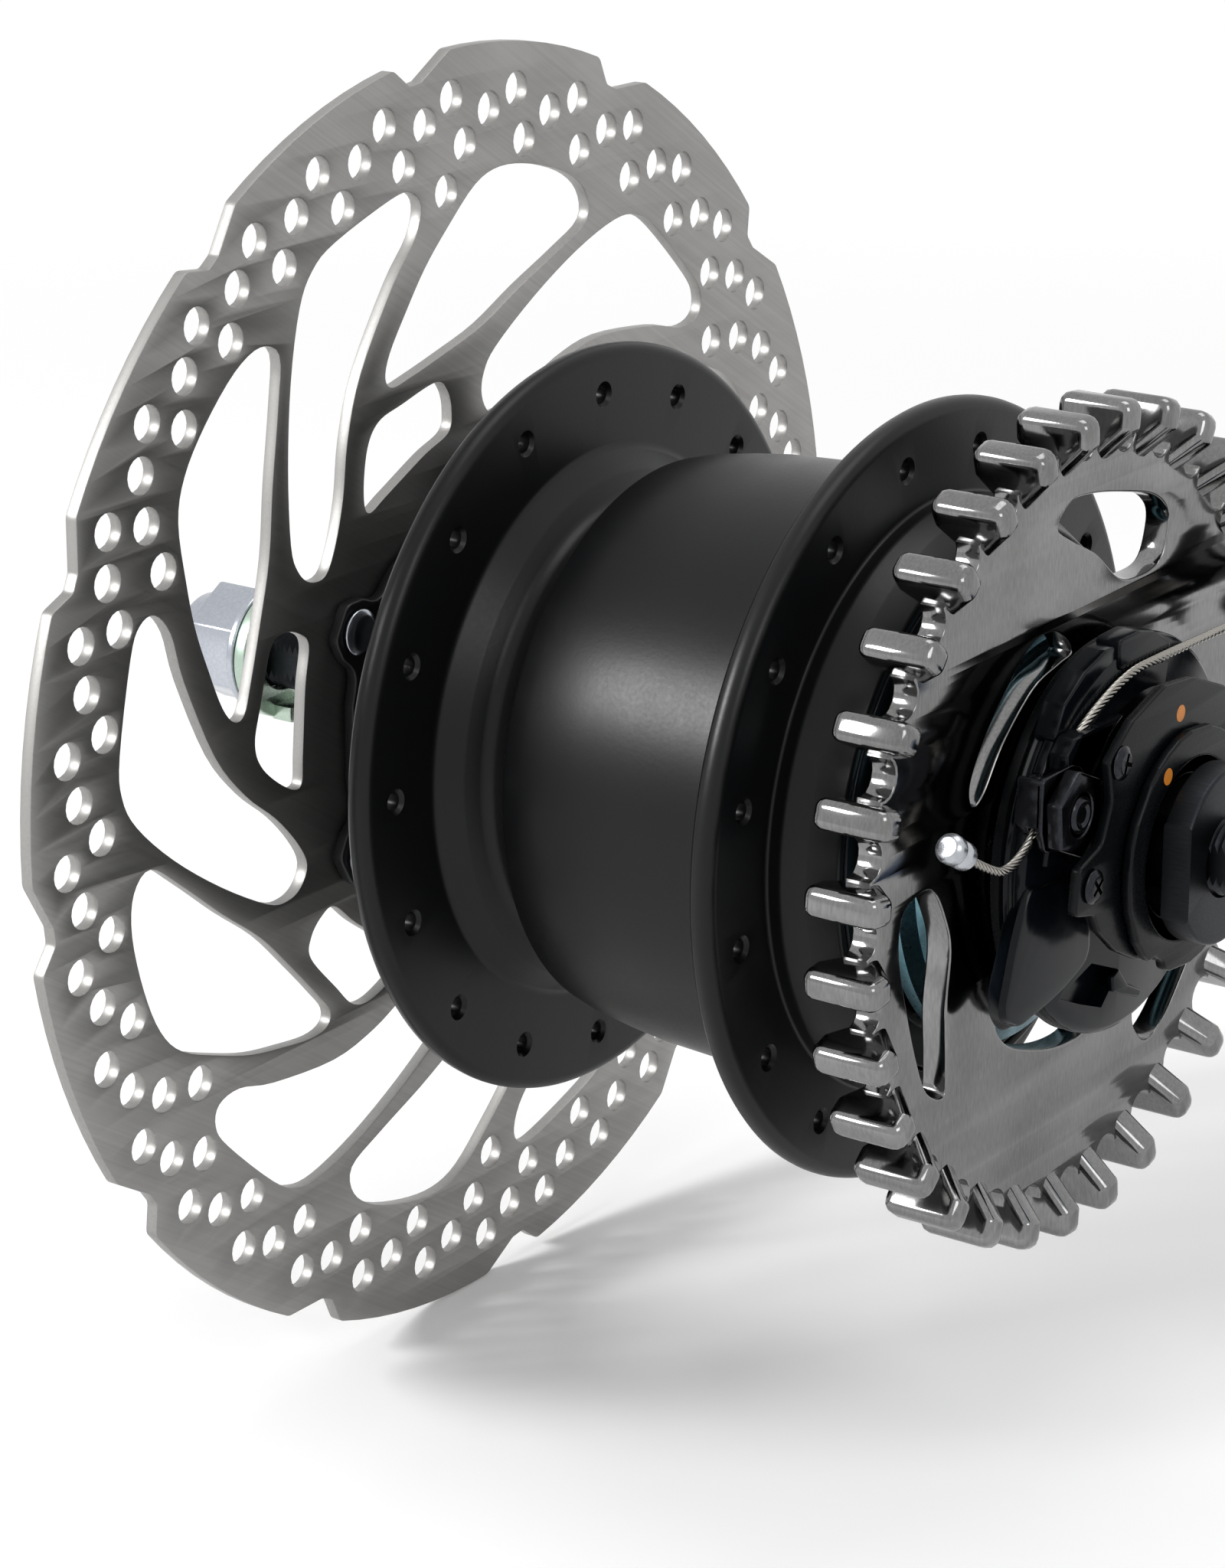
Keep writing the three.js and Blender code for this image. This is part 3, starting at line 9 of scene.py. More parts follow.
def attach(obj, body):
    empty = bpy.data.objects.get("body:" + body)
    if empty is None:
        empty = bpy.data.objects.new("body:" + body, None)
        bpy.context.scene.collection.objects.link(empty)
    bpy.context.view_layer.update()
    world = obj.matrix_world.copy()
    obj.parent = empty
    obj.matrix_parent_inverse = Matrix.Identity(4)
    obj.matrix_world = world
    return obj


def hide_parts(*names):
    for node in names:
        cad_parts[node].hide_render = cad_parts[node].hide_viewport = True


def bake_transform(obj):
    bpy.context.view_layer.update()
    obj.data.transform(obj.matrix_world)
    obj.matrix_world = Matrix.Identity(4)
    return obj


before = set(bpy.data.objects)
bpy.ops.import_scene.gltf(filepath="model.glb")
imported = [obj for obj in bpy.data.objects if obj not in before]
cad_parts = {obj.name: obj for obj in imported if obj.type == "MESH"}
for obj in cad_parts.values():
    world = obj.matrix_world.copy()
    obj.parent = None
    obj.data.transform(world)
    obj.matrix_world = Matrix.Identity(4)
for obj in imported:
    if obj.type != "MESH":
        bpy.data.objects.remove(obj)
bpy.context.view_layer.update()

# ----------------------------------------------------------
# Axle: a turned steel rod with a rolled 1 mm thread and two flats milled on each end.
# Its blackened surface gives dull grey crests on the thread.
mm = 0.001


def srgb(code):
    """sRGB hex to the linear colour that the shaders take."""
    parts = [int(code[i:i + 2], 16) / 255 for i in (1, 3, 5)]
    return tuple(c / 12.92 if c <= 0.04045 else ((c + 0.055) / 1.055) ** 2.4 for c in parts) + (1.0,)


def add(tree, kind, settings=None, links=None):
    """One node with its settings and what feeds its inputs."""
    node = tree.nodes.new(kind)
    for key, value in (settings or {}).items():
        if isinstance(key, int) or key in node.inputs:
            node.inputs[key].default_value = value
        else:
            setattr(node, key, value)
    for key, source in (links or {}).items():
        tree.links.new(source, node.inputs[key])
    return node


def blank_tree(owner):
    """The emptied node tree of a material or a world."""
    owner.use_nodes = True
    owner.node_tree.nodes.clear()
    return owner.node_tree


def finish(name, colour, roughness, metallic, grain_mm, bump, stretch=(1, 1, 1), turn=(0, 0, 0),
           spread=0.08, shade="#000000", shade_share=0.0, **shader):
    """A surface whose roughness, tone and relief come from one grain of a real size, longer along
    an axis by the stretch, and from faint patches about 15 mm across."""
    patches_per_metre, relief_mm = 65.0, 0.05
    material = bpy.data.materials.new(name)
    tree = blank_tree(material)
    where = add(tree, "ShaderNodeTexCoord").outputs["Object"]
    mapped = add(tree, "ShaderNodeMapping", {
        "vector_type": "TEXTURE", "Scale": tuple(grain_mm * mm * s for s in stretch), "Rotation": turn},
        {"Vector": where})
    grain = add(tree, "ShaderNodeTexNoise", {"Scale": 1.0, "Detail": 3.0},
                {"Vector": mapped.outputs["Vector"]})
    wide = add(tree, "ShaderNodeTexNoise", {"Scale": patches_per_metre, "Detail": 2.0}, {"Vector": where})
    mixed = add(tree, "ShaderNodeMath", {"operation": "ADD"},
                {0: grain.outputs["Fac"], 1: wide.outputs["Fac"]})
    rough = add(tree, "ShaderNodeMapRange", {
        "From Min": 0.6, "From Max": 1.4, "To Min": roughness - spread, "To Max": roughness + spread},
        {"Value": mixed.outputs["Value"]})
    tone = add(tree, "ShaderNodeMapRange", {
        "From Min": 0.7, "From Max": 1.3, "To Min": 0.0, "To Max": shade_share},
        {"Value": mixed.outputs["Value"]})
    tint = add(tree, "ShaderNodeMix", {"data_type": "RGBA", 6: srgb(colour), 7: srgb(shade)},
               {0: tone.outputs["Result"]})
    relief = add(tree, "ShaderNodeBump", {"Strength": bump, "Distance": relief_mm * mm},
                 {"Height": grain.outputs["Fac"]})
    surface = add(tree, "ShaderNodeBsdfPrincipled", {"Metallic": metallic, **shader}, {
        "Base Color": tint.outputs[2], "Roughness": rough.outputs["Result"],
        "Normal": relief.outputs["Normal"]})
    add(tree, "ShaderNodeOutputMaterial", {}, {"Surface": surface.outputs["BSDF"]})
    return material


def linked(name, data):
    """A new object in the scene, at the origin."""
    piece = bpy.data.objects.new(name, data)
    bpy.context.scene.collection.objects.link(piece)
    return piece


def shape(name, points, faces):
    """A mesh object from points in millimetres, closed, facing outwards, sharp only at real edges."""
    mesh = bpy.data.meshes.new(name)
    mesh.from_pydata([tuple(p) for p in np.asarray(points, float) * mm], [], faces)
    return clean(linked(name, mesh))


def clean(piece, angle=32):
    """The piece welded and facing outwards, flat in the wheel plane, smooth up to real edges."""
    weld, wheel_plane = 1e-6, 0.9999
    body = bmesh.new()
    body.from_mesh(piece.data)
    bmesh.ops.remove_doubles(body, verts=body.verts, dist=weld)
    bmesh.ops.recalc_face_normals(body, faces=body.faces)
    for face in body.faces:
        face.smooth = abs(face.normal.y) < wheel_plane
    body.to_mesh(piece.data)
    body.free()
    piece.data.set_sharp_from_angle(angle=math.radians(angle))
    return piece


def turned(name, profile, sides=144, start=0.0, swing=360.0):
    """A closed (radius, y) outline spun round the axle, or only part of the way with flat ends."""
    profile = np.array(profile, float)
    count = len(profile)
    whole = swing > 359.9
    angles = np.radians(start + np.linspace(0, swing, sides, endpoint=not whole))
    points = [(r * math.cos(a), y, r * math.sin(a)) for a in angles for r, y in profile]
    faces = [] if whole else [tuple(range(count)), tuple(range((sides - 1) * count, sides * count))]
    for i in range(sides if whole else sides - 1):
        for j in range(count):
            if profile[j][0] > 1e-9 or profile[(j + 1) % count][0] > 1e-9:
                here, there = i * count, (i + 1) % sides * count
                faces.append((here + j, here + (j + 1) % count, there + (j + 1) % count, there + j))
    return shape(name, points, faces)


def evaluated(piece):
    """The plain mesh that the piece's curve or modifiers give."""
    bpy.context.view_layer.update()
    return bpy.data.meshes.new_from_object(piece.evaluated_get(bpy.context.evaluated_depsgraph_get()))


def applied(piece):
    """The piece with its modifiers made part of its mesh."""
    mesh = evaluated(piece)
    piece.modifiers.clear()
    piece.data = mesh
    return piece


def cut(piece, *cutters):
    """The piece less its cutters, which are then thrown away."""
    for cutter in cutters:
        modifier = piece.modifiers.new("cut", "BOOLEAN")
        modifier.operation, modifier.solver, modifier.object = "DIFFERENCE", "EXACT", cutter
    applied(piece)
    for cutter in cutters:
        bpy.data.objects.remove(cutter)
    return clean(piece)


def block(name, low, high):
    """A plain box, used only as a cutter."""
    points = [(x, y, z) for x in (low[0], high[0]) for y in (low[1], high[1]) for z in (low[2], high[2])]
    faces = [(0, 1, 3, 2), (4, 6, 7, 5), (0, 4, 5, 1), (2, 3, 7, 6), (0, 2, 6, 4), (1, 5, 7, 3)]
    return shape(name, points, faces)


def place(piece, body, material, *nodes):
    """Gives the piece its finish and the body that it moves with, and hides the CAD nodes it stands for."""
    piece.data.materials.clear()
    piece.data.materials.append(material)
    for polygon in piece.data.polygons:
        polygon.material_index = 0
    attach(piece, body)
    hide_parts(*nodes)
    return piece


# Blackened turned steel: near black and half dull. The streaks along the bar, 0.3 by 2.4 mm, are
# drawn coarser than real lathe lines so that they show.
blackened_steel = finish("blackened_turned_steel", "#303235", 0.4, 1.0, 0.3, 0.25, (1, 8, 1),
                         shade="#1d1e20", shade_share=0.6)
thread_pitch, thread_depth, thread_start, thread_runout = 1.0, 0.55, 0.4, 1.6
axle_half, axle_mid, axle_radius, axle_mid_radius = 93.5, 66.0, 5.0, 6.2
end_profile = [(axle_mid_radius, axle_mid)]
for i in range(int((axle_half - axle_mid - thread_runout) / thread_pitch)):
    start = axle_mid + thread_start + i * thread_pitch
    end_profile += [(axle_radius - thread_depth, start), (axle_radius, start + 0.5 * thread_pitch)]
end_profile += [(axle_radius - thread_depth, axle_half - 0.8), (axle_radius - 1.2, axle_half), (0, axle_half)]
axle_profile = [(r, -y) for r, y in reversed(end_profile)] + end_profile
rod = turned("axle_rod", axle_profile, 64)
flat_half, flat_start, clear_radius, clear_end = 4.2, 66.2, 9, 95
flats = []
for side in (-1, 1):
    for end in (-1, 1):
        x0, x1 = sorted((side * flat_half, side * clear_radius))
        y0, y1 = sorted((end * flat_start, end * clear_end))
        flats.append(block("flat", (x0, y0, -clear_radius), (x1, y1, clear_radius)))
place(cut(rod, *flats), "root", blackened_steel, "axle")

# ----------------------------------------------------------
# Cones, ball bearings and seal: hardened turned steel and a small rubber lip, all of them
# behind the locknuts, so their solids carry the finish.
def dress(material, *nodes):
    """The finish of CAD nodes that show as they are."""
    for name in nodes:
        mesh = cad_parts[name].data
        mesh.materials.clear()
        mesh.materials.append(material)


# Polished bearing steel: a clear mirror with barely any grain.
bearing_steel = finish("polished_bearing_steel", "#b9bcc0", 0.14, 1.0, 0.2, 0.05)
# Moulded seal rubber: dull black, without highlights.
rubber = finish("seal_rubber", "#161617", 0.6, 0.0, 0.25, 0.3)
dress(blackened_steel, "left_cone", "right_cone")
dress(bearing_steel, "left_balls", "driver_balls", "shell_balls", "clutch_rollers")
dress(rubber, "left_dust_seal")

# ----------------------------------------------------------
# Planetary train: hobbed and ground gears, pins, pawls and carrier, closed inside the shell.
# Their CAD solids are shown as they are, since the shell hides them.
# Ground gear steel under oil: soft highlights on a brownish grey, finely streaked.
gear_steel = finish("oiled_ground_gear_steel", "#8f9296", 0.26, 1.0, 0.15, 0.15, (1, 6, 1),
                    shade="#6c655a", shade_share=0.35)
dress(gear_steel, "small_sun_gear", "large_sun_gear", "small_sun_pawl", "large_sun_pawl", "planet_gear_1",
      "planet_gear_2", "planet_gear_3", "planet_carrier", "planet_pin_1", "planet_pin_2", "planet_pin_3",
      "ring_gear", "shift_sleeve")

# ----------------------------------------------------------
# Hub shell: forged aluminium, turned and sprayed with satin black enamel, which rounds every
# edge. Sixteen holes are drilled and countersunk in each flange.
# Satin black enamel: one broad soft highlight, slightly broken by an orange peel of 0.55 mm.
satin_enamel = finish("satin_black_enamel", "#0b0c0d", 0.34, 0.0, 0.55, 0.16, spread=0.04,
                      shade="#070708", shade_share=0.5, **{"IOR": 1.45, "Specular IOR Level": 0.27})


def rounded(corners, steps=4):
    """A closed outline whose corners (x, y, radius) are rounded by that radius."""
    out = []
    for i, corner in enumerate(corners):
        here, radius = np.array(corner[:2], float), corner[2] if len(corner) > 2 else 0
        if radius <= 0:
            out.append(here)
            continue
        before = np.array(corners[i - 1][:2], float) - here
        after = np.array(corners[(i + 1) % len(corners)][:2], float) - here
        lengths = np.linalg.norm(before), np.linalg.norm(after)
        before, after = before / lengths[0], after / lengths[1]
        half = math.acos(max(-1, min(1, before @ after))) / 2
        if abs(half - math.pi / 2) < 0.02:
            out.append(here)
            continue
        reach = min(radius / math.tan(half), 0.49 * min(lengths))
        bend = reach * math.tan(half)
        centre = here + (before + after) / np.linalg.norm(before + after) * bend / math.sin(half)
        start, end = here + before * reach - centre, here + after * reach - centre
        first, last = math.atan2(start[1], start[0]), math.atan2(end[1], end[0])
        swing = (last - first + math.pi) % (2 * math.pi) - math.pi
        angles = [first + swing * k / steps for k in range(steps + 1)]
        out += [centre + bend * np.array([math.cos(angle), math.sin(angle)]) for angle in angles]
    return np.array(out)


def node_tree(name, inputs):
    """A geometry node tree with named inputs, and the sockets that give them."""
    tree = bpy.data.node_groups.new(name, "GeometryNodeTree")
    for socket, kind in (("Geometry", "Geometry"), *inputs, ("Finish", "Material")):
        tree.interface.new_socket(socket, in_out="INPUT", socket_type=f"NodeSocket{kind}")
    tree.interface.new_socket("Geometry", in_out="OUTPUT", socket_type="NodeSocketGeometry")
    return tree, add(tree, "NodeGroupInput").outputs


def run_tree(piece, tree, result, **values):
    """Coats the tree's result with the finish and puts the tree on the piece with its inputs set."""
    given = add(tree, "NodeGroupInput").outputs
    coat = add(tree, "GeometryNodeSetMaterial", {}, {
        "Geometry": result.outputs[0], "Material": given["Finish"]})
    add(tree, "NodeGroupOutput", {}, {"Geometry": coat.outputs[0]})
    modifier = piece.modifiers.new(tree.name, "NODES")
    modifier.node_group = tree
    sockets = {item.name: item.identifier for item in tree.interface.items_tree if item.in_out == "INPUT"}
    for key, value in values.items():
        modifier[sockets[key]] = value


def around_axle(piece, material, count, phase_deg):
    """Copies of the piece turned about the axle, made by a node tree with a count and a phase."""
    tree, given = node_tree(f"{piece.name}_around_axle", (("Count", "Int"), ("Phase", "Float")))
    points = add(tree, "GeometryNodePoints", {}, {"Count": given["Count"]})
    number = add(tree, "GeometryNodeInputIndex")
    step = add(tree, "ShaderNodeMath", {"operation": "DIVIDE", 0: 2 * math.pi}, {1: given["Count"]})
    angle = add(tree, "ShaderNodeMath", {"operation": "MULTIPLY_ADD"},
                {0: number.outputs[0], 1: step.outputs[0], 2: given["Phase"]})
    down = add(tree, "ShaderNodeMath", {"operation": "MULTIPLY", 1: -1.0}, {0: angle.outputs[0]})
    spin = add(tree, "ShaderNodeCombineXYZ", {}, {"Y": down.outputs[0]})
    copies = add(tree, "GeometryNodeInstanceOnPoints", {}, {
        "Points": points.outputs[0], "Instance": given["Geometry"], "Rotation": spin.outputs[0]})
    real = add(tree, "GeometryNodeRealizeInstances", {}, {"Geometry": copies.outputs[0]})
    run_tree(piece, tree, real, Count=count, Phase=math.radians(phase_deg), Finish=material)
    return clean(applied(piece))


def seated(piece, spot, y=0, turn=Matrix()):
    """The piece turned about the origin, then moved to a spot in the wheel plane and along Y."""
    piece.data.transform(Matrix.Translation((spot[0] * mm, y * mm, spot[1] * mm)) @ turn)
    return piece


def drill(radius, pitch_radius, y0, y1, sink=0.5, sides=20, over=1):
    """A drill with a countersink at both faces, standing on a pitch circle round the axle."""
    outline = [(0, y0 - over), (radius + sink + over, y0 - over), (radius, y0 + sink), (radius, y1 - sink),
               (radius + sink + over, y1 + over), (0, y1 + over)]
    return seated(turned("drill", outline, sides), (pitch_radius, 0))


flange_radius, flange_edge, right_flange, left_flange = 51.8, 1.6, (-24.6, -20.9), (28.5, 32.2)
hole_radius, hole_circle, hole_count, left_phase, right_phase = 1.3, 45.5, 16, -0.9, 10.3
shell_outline = rounded([
    (35.4, -33.5, 0.3), (36.7, -33.5, 0.8), (38.8, -30, 2), (39.8, -26.8, 1.6), (39.4, right_flange[0], 0.5),
    (flange_radius, right_flange[0], flange_edge), (flange_radius, right_flange[1], flange_edge),
    (40.72, right_flange[1], 1.8), (40.65, -12), (40.6, -4), (40.2, 4), (39.6, 9), (38.9, 13.5),
    (37.9, 17.4, 1.2), (33.6, 18.6, 1.6), (32.5, 20.6, 1.5), (32.6, 23.4, 2.5), (35.2, 25.4, 2.5),
    (37.9, left_flange[0], 1.6), (flange_radius, left_flange[0], flange_edge),
    (flange_radius, left_flange[1], flange_edge), (33.5, left_flange[1], 2.5), (30, 33.4, 3),
    (20.4, 39.4, 3), (19.8, 48.6, 0.3), (17.2, 48.6, 0.3), (17.2, 55.6, 0.4), (15.2, 55.6, 0.3), (15.2, 50),
    (13.8, 47.6), (12.2, 42.4), (12.2, 40.4), (16.8, 38.5, 0.6), (26.5, 29.1, 0.6), (29.5, 27.6),
    (29.5, 16.8), (35.4, 16.8),
])
shell = turned("hub_shell_enamelled", shell_outline, 176)
drills = [around_axle(drill(hole_radius, hole_circle, *faces), satin_enamel, hole_count, phase)
          for faces, phase in ((left_flange, left_phase), (right_flange, right_phase))]
place(cut(shell, *drills), "shell", satin_enamel, "hub_shell")

# ----------------------------------------------------------
# Ball cup: a hardened and blackened steel cup, ground on its ball track and screwed into the
# right end of the shell.
place(turned("ball_cup_ground", rounded([
    (35.1, -26.4, 0.3), (35.1, -33.5, 0.4), (30.4, -33.5, 0.5), (28.7, -31.9, 0.3), (28.6, -30.5),
    (27.6, -28.4), (26, -27.9), (25.4, -26.4, 0.3)])), "shell", blackened_steel, "ball_cup")

# ----------------------------------------------------------
# Dust cap: pressed steel, dished and ridged, plated with zinc and clipped on the driver in
# front of the ball cup.
# Blue-green passivated zinc: a coloured metal sheen that turns darker in patches.
teal_zinc = finish("blue_green_zinc", "#7fa5b0", 0.3, 1.0, 0.8, 0.12, shade="#55808d", shade_share=0.8)
dished = [(20.8, -40.8), (22.6, -40.8), (23.2, -41.3), (24, -41.3), (24.6, -40.6), (26.2, -40), (26.8, -40.3),
          (27.6, -40.2), (28.2, -39.2), (29.6, -38.5), (30.6, -38.1), (30.6, -36.3), (29.9, -36.3),
          (29.7, -37.6), (28.4, -38.2), (27.4, -39.3), (26.2, -39.2), (24.6, -39.7), (23.6, -40.2),
          (20.8, -39.8)]
dust_cap = place(turned("dust_cap_plated", dished), "driver", teal_zinc, "dust_cap")

# ----------------------------------------------------------
# Driver and sprocket: a turned steel sleeve that carries the sprocket on three keyways, with a
# plated snap ring in front. The sprocket is pressed from stainless plate and polished; its
# fingers stand out on both faces with rounded ends, and round gaps lie between their feet.
dress(blackened_steel, "driver")
# Bright zinc plate: bluish white, with highlights a little softer than a mirror's.
bright_zinc = finish("bright_zinc_plate", "#b9bdc4", 0.22, 1.0, 0.5, 0.08, shade="#979ca8", shade_share=0.6)
dress(bright_zinc, "sprocket_snap_ring")
# Polished stainless: dark or bright by what it mirrors, under faint polishing lines of 0.35 by
# 1.75 mm, drawn coarser than real ones so that they show. Its base colour is painted darker than
# real polished stainless, as a painted reflection of dark surroundings that the scene does not hold.
polished_steel = finish("polished_stainless", "#868686", 0.12, 1.0, 0.35, 0.04, (1, 1, 5), spread=0.04,
                        shade="#5d5c5b", shade_share=0.6)


def smooth_loop(shares, radius, turn_deg, count):
    """A closed smooth curve through points given as shares of a radius and degrees."""
    points = np.array([[s * radius * math.cos(math.radians(d + turn_deg)),
                        s * radius * math.sin(math.radians(d + turn_deg))] for s, d in shares])
    total = len(points)
    out = []
    per = max(2, round(count / total))
    for i in range(total):
        p0, p1, p2, p3 = (points[(i + k) % total] for k in (-1, 0, 1, 2))
        for j in range(per):
            t = j / per
            out.append(0.5 * (2 * p1 + (p2 - p0) * t + (2 * p0 - 5 * p1 + 4 * p2 - p3) * t * t
                              + (3 * p1 - p0 - 3 * p2 + p3) * t ** 3))
    return np.array(out)


def flat_plate(name, loops, y0, y1, edge=0.2, steps=1):
    """A plate in the wheel plane between two places along Y, from an outline and its holes, with
    eased edges."""
    curve = bpy.data.curves.new(name, "CURVE")
    curve.dimensions, curve.fill_mode = "2D", "BOTH"
    curve.extrude, curve.bevel_depth, curve.bevel_resolution = ((y1 - y0) / 2 - edge) * mm, edge * mm, steps
    curve.offset = -edge * mm
    for k, loop in enumerate(loops):
        area = 0.5 * np.sum(loop[:, 0] * np.roll(loop[:, 1], -1) - np.roll(loop[:, 0], -1) * loop[:, 1])
        loop = loop[::-1] if (area > 0) == (k > 0) else loop
        spline = curve.splines.new("POLY")
        spline.points.add(len(loop) - 1)
        corners = np.column_stack([loop * mm, np.zeros(len(loop)), np.ones(len(loop))])
        spline.points.foreach_set("co", corners.ravel())
        spline.use_cyclic_u = True
    drawn = linked(name, curve)
    mesh = evaluated(drawn)
    bpy.data.objects.remove(drawn)
    upright = Matrix.Rotation(math.pi / 2, 4, "X")
    mesh.transform(Matrix.Translation((0, (y0 + y1) / 2 * mm, 0)) @ upright)
    return clean(linked(name, mesh), 40)


def circle(radius, count=72, centre=(0, 0)):
    """A circle in the wheel plane, as a closed outline."""
    angles = np.arange(count) * 2 * math.pi / count
    return np.column_stack([centre[0] + radius * np.cos(angles), centre[1] + radius * np.sin(angles)])


def polar(radius, deg):
    """A point in the wheel plane, from the axle."""
    return np.array([radius * math.cos(math.radians(deg)), radius * math.sin(math.radians(deg))])


teeth, tooth_phase, tooth_width, plate_root = 32, 6.6, 4.0, 50.2
gap_radius, gap_depth_share, gap_steps = 2.55, 0.9, 8
driver_seat, window_radius, window_points = 17.5, 47.8, 66
rim = []
for i in range(teeth):
    middle = tooth_phase + (i + 0.5) * 360 / teeth
    for k in range(gap_steps + 1):
        swing = math.radians(-90 + 180 * k / gap_steps)
        across = math.degrees(gap_radius * math.sin(swing) / plate_root)
        rim.append(polar(plate_root - gap_radius * math.cos(swing) * gap_depth_share, middle + across))
window = [[0.885, 60.5], [0.9, 67], [0.892, 77], [0.902, 88], [0.91, 95.5], [0.865, 100.5],
          [0.8, 95.5], [0.735, 86], [0.665, 74.5], [0.68, 65.5], [0.745, 57.8], [0.83, 58]]
slot = [[0.498, 97], [0.55, 100.5], [0.6, 107], [0.625, 116], [0.618, 128], [0.621, 143],
        [0.624, 155], [0.585, 160], [0.545, 156], [0.525, 141], [0.512, 120], [0.495, 105]]
openings = [smooth_loop(shares, window_radius, k * 120, window_points)
            for k in range(3) for shares in (window, slot)]
web = flat_plate("belt_sprocket_web", [np.array(rim), circle(driver_seat)] + openings, -46.2, -42.6, 0.3, 2)
finger_side = rounded([
    (47.2, -46.1, 0.4), (50.4, -49.2, 1.2), (51.4, -50.2, 1), (55.2, -50.2, 1.6), (55.2, -39.6, 1.6),
    (51.4, -39.6, 1), (50.4, -40.4, 1.2), (47.2, -43.3, 0.4)], 3)
finger = flat_plate("belt_sprocket_fingers", [finger_side], -tooth_width / 2, tooth_width / 2, 1.35, 4)
finger.data.transform(Matrix.Rotation(-math.pi / 2, 4, "X"))
fingers = around_axle(finger, polished_steel, teeth, tooth_phase)
place(web, "driver", polished_steel, "belt_sprocket")
place(fingers, "driver", polished_steel, "belt_sprocket")

# ----------------------------------------------------------
# Cap ring: moulded black nylon with fine concentric ridges, pressed on the driver in front of
# the sprocket.
# Moulded nylon: deep black, with a low and slightly broken sheen.
black_nylon = finish("moulded_black_nylon", "#07090b", 0.26, 0.0, 0.4, 0.12, spread=0.06,
                     shade="#0c0e11", shade_share=0.6, **{"IOR": 1.53, "Specular IOR Level": 0.14})
ridge_count, ridge_step, ridge_top, ridge_foot, ring_back = 5, 1.3, -49.9, -49.55, -48.1
ridges = [(driver_seat, ring_back), (driver_seat, ridge_top)]
for k in range(ridge_count):
    ridges += [(radius + k * ridge_step, y) for radius, y in (
        (18.6, ridge_top), (18.8, ridge_foot), (19.3, ridge_foot), (19.5, ridge_top))]
ridges += [(24.8, ridge_top), (25.3, -49.4), (25.3, -48.3), (25.1, ring_back), (22.1, ring_back),
           (22.1, -46.7), (20.5, -46.7), (20.5, ring_back)]
place(turned("driver_cap_moulded", ridges), "driver", black_nylon, "driver_cap")

# ----------------------------------------------------------
# Cable pulley: moulded nylon with a cable groove, a stiff raised cap at the top and a broad
# thumb-shaped lobe that turns it.
# Glossy moulded nylon: deep black with small sharp highlights and slow waves of 0.9 mm.
glossy_nylon = finish("glossy_black_nylon", "#070a0e", 0.17, 0.0, 0.9, 0.08, spread=0.05,
                      shade="#0c1116", shade_share=0.6, **{"IOR": 1.53, "Specular IOR Level": 0.14})
wheel = turned("cable_pulley_wheel", rounded([
    (9.2, -56.3, 0.3), (12.2, -56.3, 0.4), (12.2, -53.7, 0.3), (24.9, -53.7), (25.9, -53.1, 0.6),
    (26, -51.9, 0.3), (25.6, -51.6, 0.2), (25.6, -50.9, 0.2), (26, -50.5, 0.2), (25.8, -50.3, 0.1),
    (9.2, -50.3, 0.3)], 3))
groove = turned("cable_pulley_groove", rounded([
    (19.6, -53.5), (19.6, -56.3, 0.4), (25.6, -56.3, 0.5), (26, -55.8, 0.3), (25.6, -55.5, 0.2),
    (22, -55.3, 0.5), (22, -53.9, 0.4), (25.5, -53.5, 0.2)], 3), 72, 76, 96)


def prism(name, corners, y0, y1):
    """A cutter with straight walls in the wheel plane, from corners given as radius and degrees."""
    low, high = [[(x, y, z) for x, z in (polar(r, d) for r, d in corners)] for y in (y0, y1)]
    count = len(corners)
    walls = [(i, (i + 1) % count, (i + 1) % count + count, i + count) for i in range(count)]
    return shape(name, low + high, [tuple(range(count)), tuple(range(count, 2 * count))] + walls)


def lofted(name, rings):
    """A solid through closed loops of equal count, each at its own place along Y."""
    count = len(rings[0][0])
    points = [(x, y, z) for loop, y in rings for x, z in loop]
    faces = [tuple(range(count)), tuple(range((len(rings) - 1) * count, len(rings) * count))]
    for low in range(0, (len(rings) - 1) * count, count):
        high = low + count
        faces += [(low + i, low + (i + 1) % count, high + (i + 1) % count, high + i) for i in range(count)]
    return shape(name, points, faces)


def polar_loop(corners, bend):
    """A closed outline with rounded corners, from corners given as radius and degrees."""
    return rounded([(*polar(r, d), bend) for r, d in corners], 2)


guide = flat_plate("cable_pulley_guide", [polar_loop(
    [(26.6, 136.5), (20.4, 117), (19.4, 150), (25.4, 147), (27, 142)], 0.5)], -56.3, -53.6, 0.35, 2)
open_side = [(26.5, 136), (20.1, 114.3), (18, 74), (30, 70), (40, 104), (32, 136)]
cut(groove, prism("open_side", open_side, -57, -55.3))
recess = [(23.8, 226), (20.1, 231.5), (17.1, 239.4), (17, 252.3), (17.8, 264.8), (20.2, 259.3),
          (22.4, 255), (22.5, 239.8)]
cut(wheel, prism("recess", recess, -55, -51.4))
hook = flat_plate("cable_pulley_hook", [polar_loop(
    [(17.4, 262), (20.2, 270.2), (22.4, 280), (23.2, 278), (21.4, 268), (20.4, 259.5), (18.4, 257)], 0.4)],
    -54.3, -53.4, 0.3, 2)
paddle_front = [(25.4, 179.7), (28.8, 190.4), (32.1, 199.7), (34, 204), (34.1, 207.6), (32.2, 212.7),
                (29.4, 215.7), (25.3, 220.6), (21.1, 226.5), (16.5, 233), (13.4, 222), (13.4, 198),
                (15.5, 183.6), (22.6, 180.5)]
paddle_back = [(23.6, 181.6), (25.8, 189.9), (28.6, 198.4), (31, 203.4), (32.5, 208.5), (32.5, 214),
               (31, 218.5), (27.5, 223.5), (22.5, 229), (16.5, 235), (13.4, 222), (13.4, 198), (15.5, 184),
               (21, 182.5)]
pulley_radius, paddle_points = 26, 84
front, back = (smooth_loop([(r / pulley_radius, d) for r, d in loop], pulley_radius, 0, paddle_points)
               for loop in (paddle_front, paddle_back))
